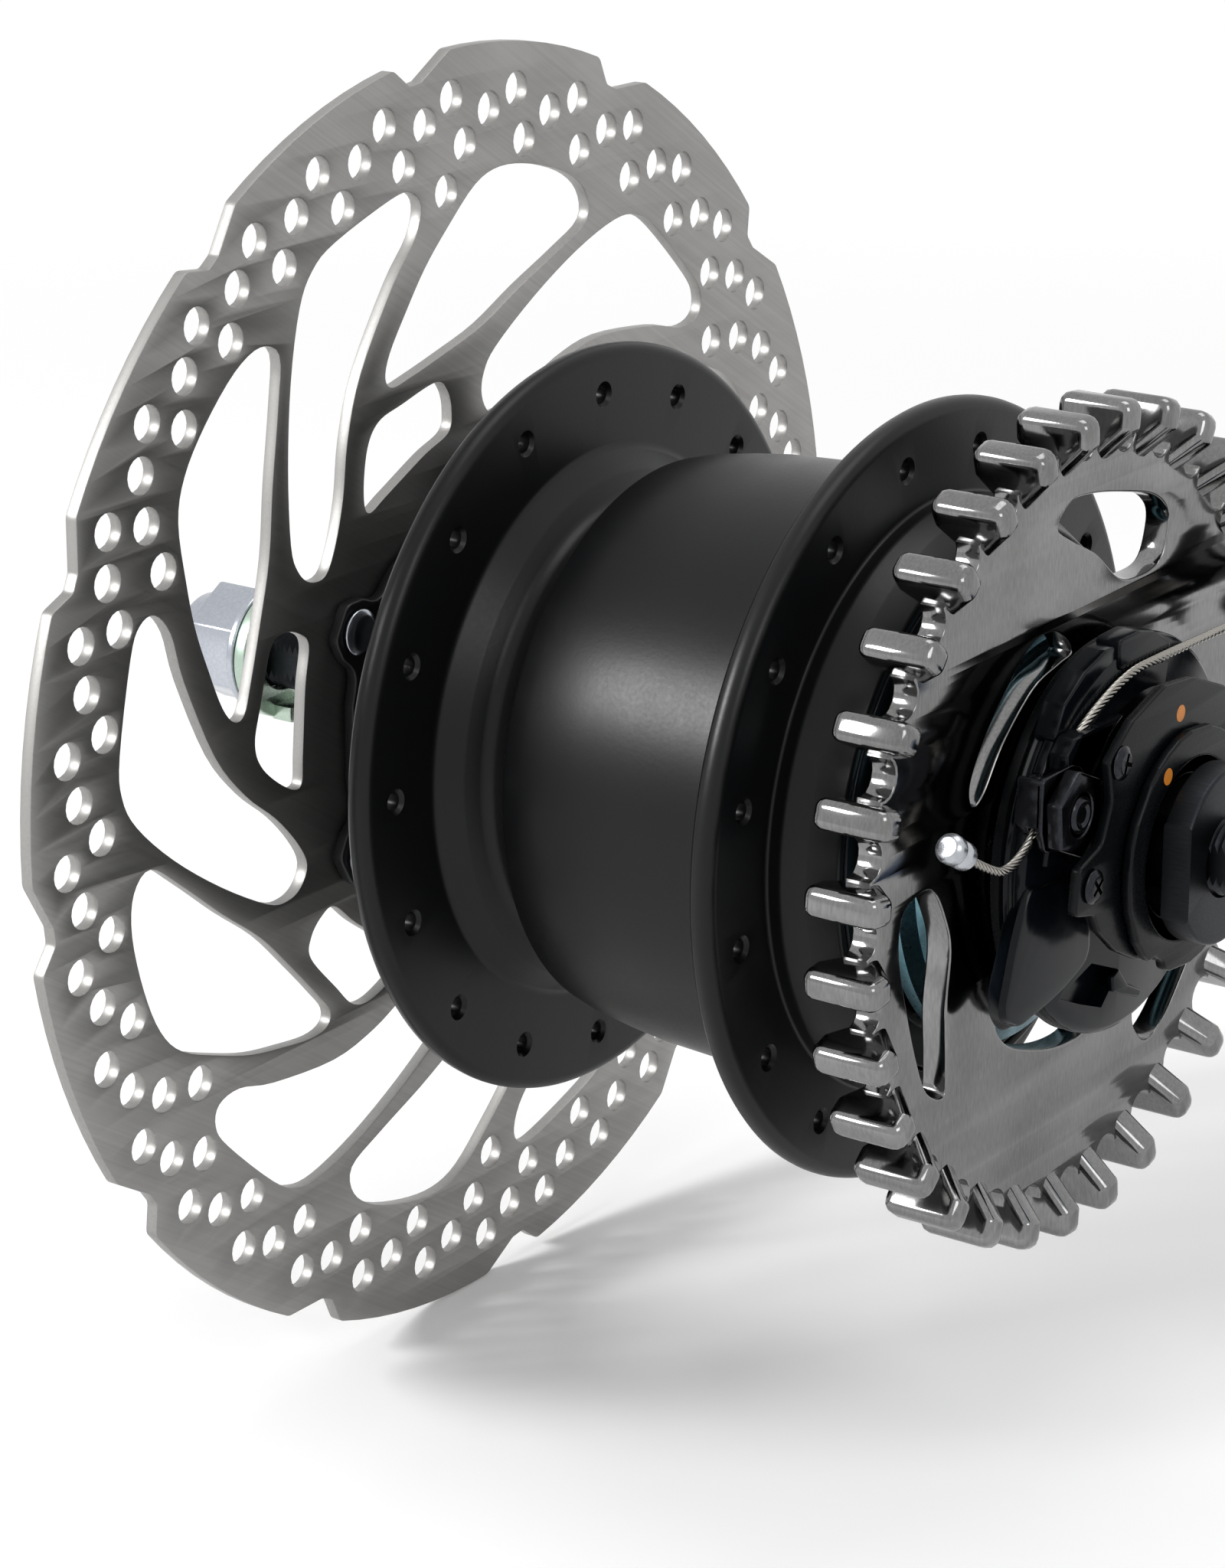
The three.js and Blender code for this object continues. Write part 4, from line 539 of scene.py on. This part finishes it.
heart = front.mean(axis=0)
paddle = lofted("cable_pulley_paddle", [
    (heart + (front - heart) * 0.9, -54.2), (heart + (front - heart) * 0.955, -54.1),
    (heart + (front - heart) * 0.985, -53.8), (front, -53.3), (back, -50.7),
    (heart + (back - heart) * 0.97, -50.3)])
band = [(23.4, 98), (26.6, 99), (27.2, 106), (27.7, 117), (27.9, 129), (26.6, 138), (23.4, 138), (23.3, 120)]
block_top = [(22.4, 84), (21.9, 72), (24.9, 70), (26.4, 82), (27, 90), (27.4, 101), (23.4, 102)]
caps = [flat_plate(f"cable_pulley_{word}", [polar_loop(outline, 0.8)], y0, -50.5, ease, 3)
        for word, outline, y0, ease in (("band", band, -53.6, 0.3), ("cap", block_top, -54.1, 0.35))]
for part in (wheel, groove, guide, hook, clean(paddle), *caps):
    place(part, "pulley", glossy_nylon, "cable_pulley")

# ----------------------------------------------------------
# Clamp bolt, washer and nut: small steel parts that pinch the cable on the pulley's rim. The
# washer is folded down over the rim on one side.
# Black passivated zinc: dark grey metal, with crisp highlights along its edges.
dark_zinc = finish("black_passivated_zinc", "#35363a", 0.22, 1.0, 0.4, 0.1, shade="#1d1e20", shade_share=0.7)
bolt_centre, bolt_hole = polar(24, 156), 2.7


def hexagon(across, centre, turn_deg=30.0, bend=0.5):
    """A hexagon with rounded corners, by its width across flats."""
    reach = across / math.sqrt(3)
    return rounded([(centre[0] + reach * math.cos(math.radians(turn_deg + 60 * k)),
                     centre[1] + reach * math.sin(math.radians(turn_deg + 60 * k)), bend)
                    for k in range(6)], 2)


nut_loops = [hexagon(10, bolt_centre, 96), circle(bolt_hole, 24, bolt_centre)]
place(flat_plate("cable_nut_hexagon", nut_loops, -58.9, -56.75, 0.35, 2), "pulley", dark_zinc, "cable_nut")
washer_loop = [(-27.3, 8.4, 0.8), (-26.2, 5.4, 1.4), (-17.4, 5.4, 1.4), (-17.4, 14.2, 1.4), (-20, 15.2, 1.4),
               (-27.3, 15.2, 0.8)]
washer = flat_plate("cable_washer_pressed", [rounded(washer_loop, 4), circle(bolt_hole, 24, bolt_centre)],
                    -56.45, -55.45, 0.25, 2)
lip_loop = [(-27.3, 8.6, 0.4), (-26.2, 8.6, 0.4), (-26.2, 15, 0.4), (-27.3, 15, 0.4)]
lip = flat_plate("cable_washer_lip", [rounded(lip_loop, 2)], -56.2, -52.8, 0.25, 2)
place(washer, "pulley", dark_zinc, "cable_washer")
place(lip, "pulley", dark_zinc, "cable_washer")
bolt = turned("cable_bolt_turned", rounded([
    (0, -58.9), (1.1, -58.9, 0.2), (1.5, -59.2, 0.2), (1.9, -59.2, 0.2), (2.4, -58.8, 0.2),
    (2.4, -53.65, 0.1), (4.2, -53.65, 0.3), (4.2, -51.8, 0.3), (0, -51.8)], 2), 32)
place(seated(bolt, bolt_centre), "pulley", dark_zinc, "cable_bolt")

# ----------------------------------------------------------
# Inner cable: a stranded stainless wire rope, clamped under the washer. It leaves the bracket's
# stop, lies in the pulley's groove, passes the bolt and ends in a crimp.
# Stranded stainless: light grey with dark lines between the wires. The nineteen real wires are
# drawn as seven thick ones, so that the lay shows.
cable_steel = finish("stranded_stainless", "#a5a29c", 0.22, 1.0, 0.1, 0.1, shade="#6f6a63", shade_share=0.5)
exit_deg, free_length, groove_radius, cable_y, tail_y = 87.0, 41.0, 24.0, -54.55, -54.4
laid_radius, laid_y, ferrule_length = 22.7, -54.75, 8.4
exit_point = polar(groove_radius, exit_deg)
ahead = np.array([math.sin(math.radians(exit_deg)), -math.cos(math.radians(exit_deg))])
stop_start = exit_point + ahead * free_length
far = stop_start + ahead * ferrule_length
landing = 0.45 * stop_start + 0.55 * polar(laid_radius, 90)
route = [(*far, cable_y), (*stop_start, cable_y), (*landing, laid_y)]
route += [(*polar(laid_radius, deg), laid_y) for deg in (89, 98, 107)] + [(*polar(22.9, 116), laid_y)]
route += [(*polar(23.4, 125), -54.65), (*polar(groove_radius, 134), cable_y)]
tail = [(1.03, 145), (1.11, 156), (1.1, 164), (1.34, 172.5), (1.56, 170.4), (1.75, 168)]
for i, (share, deg) in enumerate(tail):
    route.append((*polar(share * groove_radius, deg), cable_y + (tail_y - cable_y) * max(0, i - 1) / 4))
route = np.array([(x, y, z) for x, z, y in route])
line = bpy.data.curves.new("cable_line", "CURVE")
line.dimensions = "3D"
spline = line.splines.new("NURBS")
spline.points.add(len(route) - 1)
spline.points.foreach_set("co", np.column_stack([route * mm, np.ones(len(route))]).ravel())
spline.use_endpoint_u, spline.order_u, spline.resolution_u = True, 3, 12
cable = linked("shift_cable_strand", line)
samples, section_sides, flute_share = 420, 35, 0.72
strand, given = node_tree("stranded_cable", (("Radius", "Float"), ("Lay", "Float"), ("Wires", "Int")))
even = add(strand, "GeometryNodeResampleCurve", {"Count": samples}, {"Curve": given["Geometry"]})
along = add(strand, "GeometryNodeSplineParameter")
laps = add(strand, "ShaderNodeMath", {"operation": "DIVIDE"}, {0: along.outputs["Length"], 1: given["Lay"]})
turn = add(strand, "ShaderNodeMath", {"operation": "MULTIPLY", 1: 2 * math.pi}, {0: laps.outputs[0]})
tilted = add(strand, "GeometryNodeSetCurveTilt", {}, {"Curve": even.outputs[0], "Tilt": turn.outputs[0]})
section = add(strand, "GeometryNodeCurvePrimitiveCircle", {"mode": "RADIUS", "Resolution": section_sides},
              {"Radius": given["Radius"]})
number = add(strand, "GeometryNodeInputIndex")
lap = add(strand, "ShaderNodeMath", {"operation": "MULTIPLY", 1: math.pi / section_sides},
          {0: given["Wires"]})
wave = add(strand, "ShaderNodeMath", {"operation": "MULTIPLY"}, {0: number.outputs[0], 1: lap.outputs[0]})
bump = add(strand, "ShaderNodeMath", {"operation": "SINE"}, {0: wave.outputs[0]})
bulge = add(strand, "ShaderNodeMath", {"operation": "ABSOLUTE"}, {0: bump.outputs[0]})
scale = add(strand, "ShaderNodeMapRange", {
    "From Min": 0.0, "From Max": 1.0, "To Min": flute_share, "To Max": 1.0}, {"Value": bulge.outputs[0]})
spot = add(strand, "GeometryNodeInputPosition")
drawn_in = add(strand, "ShaderNodeVectorMath", {"operation": "SCALE"},
               {0: spot.outputs[0], "Scale": scale.outputs["Result"]})
fluted = add(strand, "GeometryNodeSetPosition", {},
             {"Geometry": section.outputs[0], "Position": drawn_in.outputs[0]})
swept = add(strand, "GeometryNodeCurveToMesh", {"Fill Caps": True},
            {"Curve": tilted.outputs[0], "Profile Curve": fluted.outputs[0]})
run_tree(cable, strand, swept, Radius=0.6 * mm, Lay=7 * mm, Wires=7, Finish=cable_steel)
mesh = evaluated(cable)
bpy.data.objects.remove(cable)
cable = linked("shift_cable_strand", mesh)
for polygon in mesh.polygons:
    polygon.use_smooth = True
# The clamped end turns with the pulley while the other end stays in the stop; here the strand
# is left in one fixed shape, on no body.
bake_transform(cable)
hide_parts("shift_cable")

# Cable end: a small aluminium sleeve on the tail, squeezed once round its middle.
# Crimped aluminium: pale and soft, with gentle highlights.
crimp = finish("crimped_aluminium", "#b9bcc0", 0.26, 1.0, 0.3, 0.1, shade="#8f939a", shade_share=0.4)
end_cap = turned("cable_end_cap_crimped", rounded([
    (0, 0), (1.2, 0, 0.2), (1.75, 0.7, 0.5), (1.8, 2, 0.6), (1.35, 2.6, 0.3), (1.4, 3, 0.3),
    (1.9, 3.5, 0.6), (1.9, 4.8, 0.6), (1.3, 5.4, 0.4), (0, 5.3)], 3), 36)
last, before = route[-1], route[-2]
heading = Vector(last - before).normalized()
turn_to = Vector((0, 1, 0)).rotation_difference(heading).to_matrix().to_4x4()
end_cap.data.transform(Matrix.Translation((Vector(last) + heading * 0.3) * mm) @ turn_to)
place(end_cap, "pulley", crimp, "cable_end_cap")

# ----------------------------------------------------------
# Bracket: moulded black nylon that stands still on the cone, held by the fixing ring. Its arm
# carries the stop for the cable.
bracket_radius, bracket_bore, bracket_front = 26.5, 9.2, -60.9
bracket_shares = [(0.82, 84, 3), (0.87, 104, 3), (0.905, 124, 2), (0.935, 140, 1), (0.785, 149, 2),
                  (0.785, 164, 2), (0.97, 171, 1), (0.99, 184, 1), (0.82, 188, 1), (0.78, 196, 2),
                  (0.68, 212, 3), (0.6, 230, 3), (0.57, 262, 3), (0.58, 294, 3), (0.72, 318, 2),
                  (0.94, 328, 2), (0.94, 346, 2), (0.7, 356, 2)]
arm_end = stop_start + ahead * 6
arm_angle = math.degrees(math.atan2(arm_end[1], arm_end[0]))
arm_reach = float(np.linalg.norm(arm_end)) + 4.2
arm_root, arm_half, post_length = 19, 6.5, 8.4
arm_dir, arm_side = polar(1, arm_angle), polar(1, arm_angle + 90)


def arm_corners(near, far_end):
    """The arm's corners between two distances from the axle, rounder at its far end."""
    return [(*(arm_dir * reach + arm_side * side * arm_half), bend) for reach, side, bend in (
        (near, -1, 1), (far_end, -1, 2), (far_end, 1, 2), (near, 1, 1))]


bracket_loop = [(*polar(bracket_radius * share, deg), bend) for share, deg, bend in bracket_shares]
bracket_loop += arm_corners(arm_root, arm_reach) + [(*polar(21.2, 60), 2)]
disc = flat_plate("shift_bracket_disc", [rounded(bracket_loop, 3), circle(bracket_bore)],
                  bracket_front, -59.5, 0.3, 2)
collar = turned("shift_bracket_hub", rounded([
    (bracket_bore, bracket_front, 0.2), (13.6, bracket_front, 0.4), (13.6, -56.6, 0.3),
    (bracket_bore, -56.6, 0.2)]))
post = flat_plate("shift_bracket_post", [rounded(arm_corners(arm_reach - post_length, arm_reach), 3)],
                  -60.4, -54.55, 0.4, 2)
barrel = turned("shift_bracket_barrel", rounded([
    (1.3, 0, 0.2), (3.6, 0, 0.5), (4.2, 0.8, 0.3), (4.2, 11.2, 0.3), (3.9, 12, 0.3), (3.1, 12, 0.2),
    (3.1, 0.9, 0.1), (1.3, 0.9, 0.1)]), 48)
barrel_turn = Vector((0, 1, 0)).rotation_difference(Vector((ahead[0], 0, ahead[1]))).to_matrix().to_4x4()
seated(barrel, stop_start, cable_y, barrel_turn)
shoulder = turned("shift_bracket_shoulder", rounded([
    (16, -59.8), (20.3, -59.8, 0.2), (19.5, -57.2, 0.3), (16, -57.2)]), 40, 36, 44)
step = turned("shift_bracket_step", rounded([
    (15.5, -59.8), (17.9, -59.8), (17.5, -57.2, 0.3), (15.5, -57.2)]), 40, 79.5, 35)
for part in (disc, collar, shoulder, step, post, barrel):
    place(clean(part), "root", black_nylon, "shift_bracket")

# Ferrule: pressed steel with bright zinc, pushed into the bracket's stop. The cable runs out
# through its bore.
ferrule = turned("casing_ferrule_pressed", rounded([
    (0.9, 1.2, 0.1), (2.8, 1.2, 0.3), (2.8, 9.6, 0.4), (0.9, 9.6, 0.1)], 2), 36)
seated(ferrule, stop_start, cable_y, barrel_turn)
place(clean(ferrule), "root", bright_zinc, "casing_ferrule")

# Bracket screws: pan heads with a cross recess, in black passivated zinc, screwed into the
# bracket. Each recess stands at another angle, as tightened screws do.
for k, deg in enumerate((137, 177, 337)):
    screw = turned(f"bracket_screw_{k + 1}_head", rounded([
        (0, -61.9), (1.4, -61.9, 0.3), (2.2, -61.4, 0.3), (2.2, -61.2, 0.1), (1.1, -61.2), (1.1, -59.5),
        (0, -59.5)], 2), 28)
    arm, half_slot, recess_top, recess_foot = 1.3, 0.28, -63, -61.45
    cross = [block("cross", (-arm, recess_top, -half_slot), (arm, recess_foot, half_slot)),
             block("cross", (-half_slot, recess_top, -arm), (half_slot, recess_foot, arm))]
    cut(screw, *cross)
    seated(screw, polar(22.6, deg), 0, Matrix.Rotation(math.radians(20 + 31 * k), 4, "Y"))
    place(screw, "root", dark_zinc, f"bracket_screw_{k + 1}")

# Fixing ring: black nylon with grip notches, which locks the bracket on the cone. One paint dot
# on it and one on the bracket show that the gear is set.
ring_front, ring_radius, notch_edge = -62.6, 15.8, 15.7
ring_loop = []
for k in range(6):
    grip = 14.7 if k in (0, 4, 5) else 15.75
    for deg, radius in ((-26, ring_radius), (-15, ring_radius), (-8, notch_edge), (-5, grip), (5, grip),
                        (8, notch_edge), (15, ring_radius)):
        ring_loop.append((*polar(radius, k * 60 + deg), 1.2))
ring = flat_plate("fixing_ring_moulded", [rounded(ring_loop, 3), circle(11.8)], ring_front, -61.2, 0.4, 3)
place(ring, "root", black_nylon, "fixing_ring")
# Orange marking paint: two small matt spots of clear colour.
orange_paint = finish("orange_marking_paint", "#d9862a", 0.45, 0.0, 0.6, 0.2,
                      shade="#c27322", shade_share=0.5)
dot_radius, dot_depth, dot_proud = 1.1, 0.3, -0.01
for number, (radius, deg, face, node) in enumerate((
        (13.4, 122, ring_front, "fixing_ring"), (17.8, 94, bracket_front, "shift_bracket"))):
    dot = turned(f"setting_dot_{number + 1}", rounded([
        (0, face), (dot_radius, face, 0.02), (dot_radius, face + dot_depth), (0, face + dot_depth)], 1), 28)
    place(seated(dot, polar(radius, deg), dot_proud), "root", orange_paint, node)

# ----------------------------------------------------------
# Rotor carrier: a milled aluminium spider, anodised black and splined on the hub, with one arm
# to each rivet.
# Black anodised aluminium: charcoal, between metal and paint, with a low sheen.
anodised = finish("black_anodised_aluminium", "#1d1e20", 0.38, 0.35, 0.12, 0.2,
                  shade="#26272a", shade_share=0.5)
spider = []
for k in range(6):
    arm = 30 + 60 * k
    spider += [(*polar(29, arm - 19), 2), (*polar(29, arm - 10), 3)]
    spider += [tuple(polar(31.5, arm) + polar(4.5, arm + d)) + (2,) for d in (-80, -35, 35, 80)]
    spider += [(*polar(29, arm + 10), 3), (*polar(29, arm + 19), 2)]
rivet_places = [polar(31.4, 30 + 60 * k) for k in range(6)]
rivet_holes = [circle(2.3, 20, p) for p in rivet_places]
spider_web = flat_plate("rotor_carrier_web", [rounded(spider, 3), circle(driver_seat)] + rivet_holes,
                        48.9, 50.7, 0.35, 2)
spider_hub = turned("rotor_carrier_hub", rounded([
    (17.5, 48.9), (25.7, 48.9), (25.7, 52.8, 0.3), (21.5, 52.8, 0.5), (21.5, 56, 0.4), (17.5, 56, 0.3)]))
place(spider_web, "shell", anodised, "rotor_carrier")
place(spider_hub, "shell", anodised, "rotor_carrier")

# ----------------------------------------------------------
# Disc rotor: laser-cut stainless plate with slanted rows of drilled holes and a notched rim,
# ground flat in one direction and riveted to the carrier.
# Ground stainless: even grey under straight scratches at one angle. They are 0.4 mm apart, drawn
# several times coarser than real ones so that they show.
rotor_steel = finish("ground_stainless", "#9c9b99", 0.46, 1.0, 0.4, 0.07, (80, 1, 1),
                     (0, math.radians(32), 0), spread=0.05, shade="#82807e", shade_share=0.4)
teardrop = [[0.757, 185.6], [0.797, 187.2], [0.814, 191.5], [0.8165, 198], [0.812, 203.6], [0.79, 208],
            [0.735, 213.4], [0.69, 218.2], [0.643, 223], [0.6, 228], [0.57, 230.2], [0.549, 229.2],
            [0.5435, 224.6], [0.549, 215.4], [0.574, 205.8], [0.63, 197.3], [0.7, 189.6]]
swept_window = [[0.818, 162.5], [0.8175, 172.2], [0.81, 176.5], [0.78, 180.2], [0.707, 186], [0.618, 193.6],
                [0.538, 202], [0.5, 204.9], [0.465, 205.2], [0.438, 202.4], [0.445, 196.6], [0.481, 189],
                [0.543, 182.2], [0.61, 174.8], [0.695, 164.6], [0.742, 159.4], [0.785, 157.8], [0.812, 159.2]]
hub_window = [[0.49, 155.6], [0.511, 158.5], [0.513, 168], [0.519, 174.4], [0.5, 179], [0.45, 184.2],
              [0.417, 185.5], [0.409, 179], [0.414, 165], [0.425, 156.4], [0.455, 154.8]]
rotor_radius, notch_radius, drill_radius = 90, 86.9, 2.45
notched = []
for k in range(12):
    start = 6.8 + 30 * k
    notched += [(*polar(notch_radius, start - 0.8), 1.2), (*polar(notch_radius, start + 0.8), 1.2)]
    notched += [(*polar(rotor_radius, start + 2.8), 1.5)]
    notched += [(*polar(rotor_radius, start + 2.8 + 22.2 * j / 8), 0) for j in range(1, 8)]
    notched += [(*polar(rotor_radius, start + 25), 2)]
rotor_loops = [rounded(notched, 3), circle(26, 96)]
rotor_loops += [smooth_loop(shares, rotor_radius, 60 * k, 72)
                for k in range(6) for shares in (teardrop, swept_window, hub_window)]
rotor_loops += [circle(drill_radius, 18, polar(r, d + 10 * k))
                for k in range(36) for r, d in ((83.5, 151.8), (81, 156), (76.8, 159.8))]
rotor_loops += [circle(drill_radius, 18, polar(71.1, 153.2 + 60 * k)) for k in range(6)]
rotor_loops += [circle(2.3, 18, p) for p in rivet_places]
rotor = flat_plate("disc_rotor_ground", rotor_loops, 51.0, 52.8, 0.12, 1)
place(rotor, "shell", rotor_steel, "disc_rotor")

# Rivets: turned steel with bright zinc, set with a low head on both faces, that hold the rotor
# on the spider's arms.
for k, centre in enumerate(rivet_places):
    rivet = turned(f"rotor_rivet_{k + 1}_set", rounded([
        (0, 47.7), (2.4, 47.7, 0.5), (3.2, 48.3, 0.2), (3.2, 48.6, 0.1), (2, 48.6), (2, 53.1),
        (3.2, 53.1, 0.1), (3.2, 53.4, 0.2), (2.4, 54, 0.5), (0, 54)], 2), 28)
    place(clean(seated(rivet, centre)), "shell", bright_zinc, f"rotor_rivet_{k + 1}")

# Lockring: turned aluminium, anodised black, with eight tool notches round its flange. It is
# screwed into the hub and holds the carrier on its splines.
lock_loop = []
for k in range(8):
    for deg, radius in ((-16, 20.4), (-4.2, 20.4), (-3.8, 19.2), (3.8, 19.2), (4.2, 20.4), (16, 20.4)):
        lock_loop.append((*polar(radius, k * 45 + deg), 0.2))
lock_face = flat_plate("rotor_lockring_flange", [rounded(lock_loop, 2), circle(12.9)], 56.3, 58.1, 0.3, 2)
lock_thread = turned("rotor_lockring_thread", [(12.9, 51.2), (14.9, 51.2), (14.9, 57), (12.9, 57)], 96)
place(lock_face, "shell", anodised, "rotor_lockring")
place(lock_thread, "shell", anodised, "rotor_lockring")

# ----------------------------------------------------------
# Locknuts, keyed washers and closed nuts: turned and pressed steel, plated, screwed on the
# axle's ends. The nuts have a washer face, a hexagon and a dome.
# Passivated zinc: a soft metal sheen, tinted pale green on the left washer and blue on the right.
green_zinc = finish("green_passivated_zinc", "#b3c2b4", 0.32, 1.0, 0.5, 0.12,
                    shade="#9db5a8", shade_share=0.8)
blue_zinc = finish("blue_passivated_zinc", "#7f93b8", 0.32, 1.0, 0.5, 0.12,
                   shade="#6a86a8", shade_share=0.8)
nut_bore, washer_radius, key_half, key_foot = 5.4, 9.5, 3, -7.1
left_lock = flat_plate("left_locknut_hexagon", [hexagon(17, (0, 0)), circle(nut_bore, 48)],
                       62.1, 67.5, 0.5, 2)
place(left_lock, "root", bright_zinc, "left_locknut")
round_lock = turned("right_locknut_turned", rounded([
    (nut_bore, -67.5), (11.5, -67.5, 0.5), (11.5, -63.6, 0.4), (nut_bore, -63.6)]), 96)
sides = [block("side", (9.6, -70, -20), (20, -60, 20)), block("side", (-20, -70, -20), (-9.6, -60, 20))]
place(cut(round_lock, *sides), "root", blackened_steel, "right_locknut")
key_loop = rounded([(-key_half, -washer_radius, 0.6), (key_half, -washer_radius, 0.6),
                    (key_half, key_foot, 0.3), (-key_half, key_foot, 0.3)], 2)
for side, word, coat in ((1, "left", green_zinc), (-1, "right", blue_zinc)):
    disc_loops = [circle(washer_radius, 72), circle(nut_bore, 40)]
    disc_washer = flat_plate(f"non_turn_washer_{word}_pressed", disc_loops,
                             *sorted((side * 84.0, side * 86.0)), 0.3, 2)
    key = flat_plate(f"non_turn_washer_{word}_key", [key_loop], *sorted((side * 81.0, side * 84.6)), 0.3, 2)
    place(disc_washer, "root", coat, f"non_turn_washer_{word}")
    place(key, "root", coat, f"non_turn_washer_{word}")
    dome = turned(f"axle_nut_{word}_body", rounded([(radius, side * y, bend) for radius, y, bend in (
        (5.3, 86.3, 0.2), (9.4, 86.3, 0.4), (9.4, 87.5, 0.3), (7.5, 88, 0.2), (7.5, 95.8, 0.2),
        (6.9, 96.6, 1.0), (6.3, 99, 1.6), (4.3, 100.9, 1.4), (0, 101.5, 0), (0, 93.8, 0),
        (5.3, 93.8, 0))]), 72)
    hexed = flat_plate(f"axle_nut_{word}_hexagon", [hexagon(15, (0, 0)), circle(6, 40)],
                       *sorted((side * 87.2, side * 96.3)), 0.6, 2)
    place(dome, "root", bright_zinc, f"axle_nut_{word}")
    place(hexed, "root", bright_zinc, f"axle_nut_{word}")

# ----------------------------------------------------------
# Stage: a pale floor that keeps the shadow near the object and turns to plain white further
# out, under a white sky with three lamps, and a camera where the photograph was taken from.
def seen_ray(tree):
    """1 for rays that the camera sees straight, in a mirror or through glass, 0 for the others."""
    path = add(tree, "ShaderNodeLightPath")
    direct = add(tree, "ShaderNodeMath", {"operation": "MAXIMUM"},
                 {0: path.outputs["Is Camera Ray"], 1: path.outputs["Is Glossy Ray"]})
    either = add(tree, "ShaderNodeMath", {"operation": "MAXIMUM"},
                 {0: direct.outputs[0], 1: path.outputs["Is Transmission Ray"]})
    return either.outputs[0]


# Pale paper: matt near-white that takes the shadow and fades out without a horizon.
page = bpy.data.materials.new("pale_paper")
tree = blank_tree(page)
white = srgb("#ffffff")
matt = add(tree, "ShaderNodeBsdfDiffuse", {"Color": srgb("#f4f4f4")})
glow = add(tree, "ShaderNodeEmission", {"Color": white, "Strength": 0.12})
both = add(tree, "ShaderNodeAddShader", {}, {0: matt.outputs[0], 1: glow.outputs[0]})
where = add(tree, "ShaderNodeTexCoord").outputs["Object"]
distance = add(tree, "ShaderNodeVectorMath", {"operation": "LENGTH"}, {0: where})
away = add(tree, "ShaderNodeMapRange", {"From Min": 0.25, "From Max": 0.8},
           {"Value": distance.outputs["Value"]}).outputs["Result"]
plain = add(tree, "ShaderNodeEmission", {"Color": white, "Strength": 1.0})
shown = add(tree, "ShaderNodeMixShader", {}, {0: away, 1: both.outputs[0], 2: plain.outputs[0]})
paper = add(tree, "ShaderNodeMixShader", {}, {0: seen_ray(tree), 1: matt.outputs[0], 2: shown.outputs[0]})
add(tree, "ShaderNodeOutputMaterial", {}, {"Surface": paper.outputs[0]})
floor_half, floor_z = 6000, -90.2
floor = shape("floor", [(x * floor_half, y * floor_half, floor_z)
                        for x, y in ((-1, -1), (1, -1), (1, 1), (-1, 1))], [(0, 1, 2, 3)])
floor.data.materials.append(page)

world = bpy.data.worlds.new("studio")
bpy.context.scene.world = world
tree = blank_tree(world)
dim = add(tree, "ShaderNodeBackground", {"Color": white, "Strength": 0.45})
full = add(tree, "ShaderNodeBackground", {"Color": white, "Strength": 1.0})
sky = add(tree, "ShaderNodeMixShader", {}, {0: seen_ray(tree), 1: dim.outputs[0], 2: full.outputs[0]})
add(tree, "ShaderNodeOutputWorld", {}, {"Surface": sky.outputs[0]})
for name, lamp_at, size, power in (
        ("key", (-1.05, 0.84, 0.68), 0.42, 20), ("front", (-0.6, -1.3, 0.9), 0.7, 5),
        ("top", (0.3, -0.1, 1.6), 0.9, 6)):
    lamp = bpy.data.lights.new(name, "AREA")
    lamp.energy, lamp.size, lamp.shape = power, size, "SQUARE"
    holder = linked(name, lamp)
    holder.location = lamp_at
    holder.rotation_mode = "QUATERNION"
    holder.rotation_quaternion = (-Vector(lamp_at)).to_track_quat("-Z", "Y")

yaw, pitch = math.radians(54.6183), math.radians(18.5318)
looking = Vector((math.sin(yaw) * math.cos(pitch), math.cos(yaw) * math.cos(pitch), -math.sin(pitch)))
camera = linked("camera", bpy.data.cameras.new("camera"))
focal_pixels, photo_pixels, sensor = 5818.49, 2048, 36
camera.data.lens, camera.data.sensor_width = focal_pixels / photo_pixels * sensor, sensor
camera.data.clip_start, camera.data.clip_end = 0.02, 20
camera.location = Vector((-472.211, -308.755, 185.324)) * mm
camera.rotation_mode = "QUATERNION"
camera.rotation_quaternion = looking.to_track_quat("-Z", "Y")
bpy.context.scene.camera = camera
bpy.context.scene.view_settings.view_transform = "Standard"
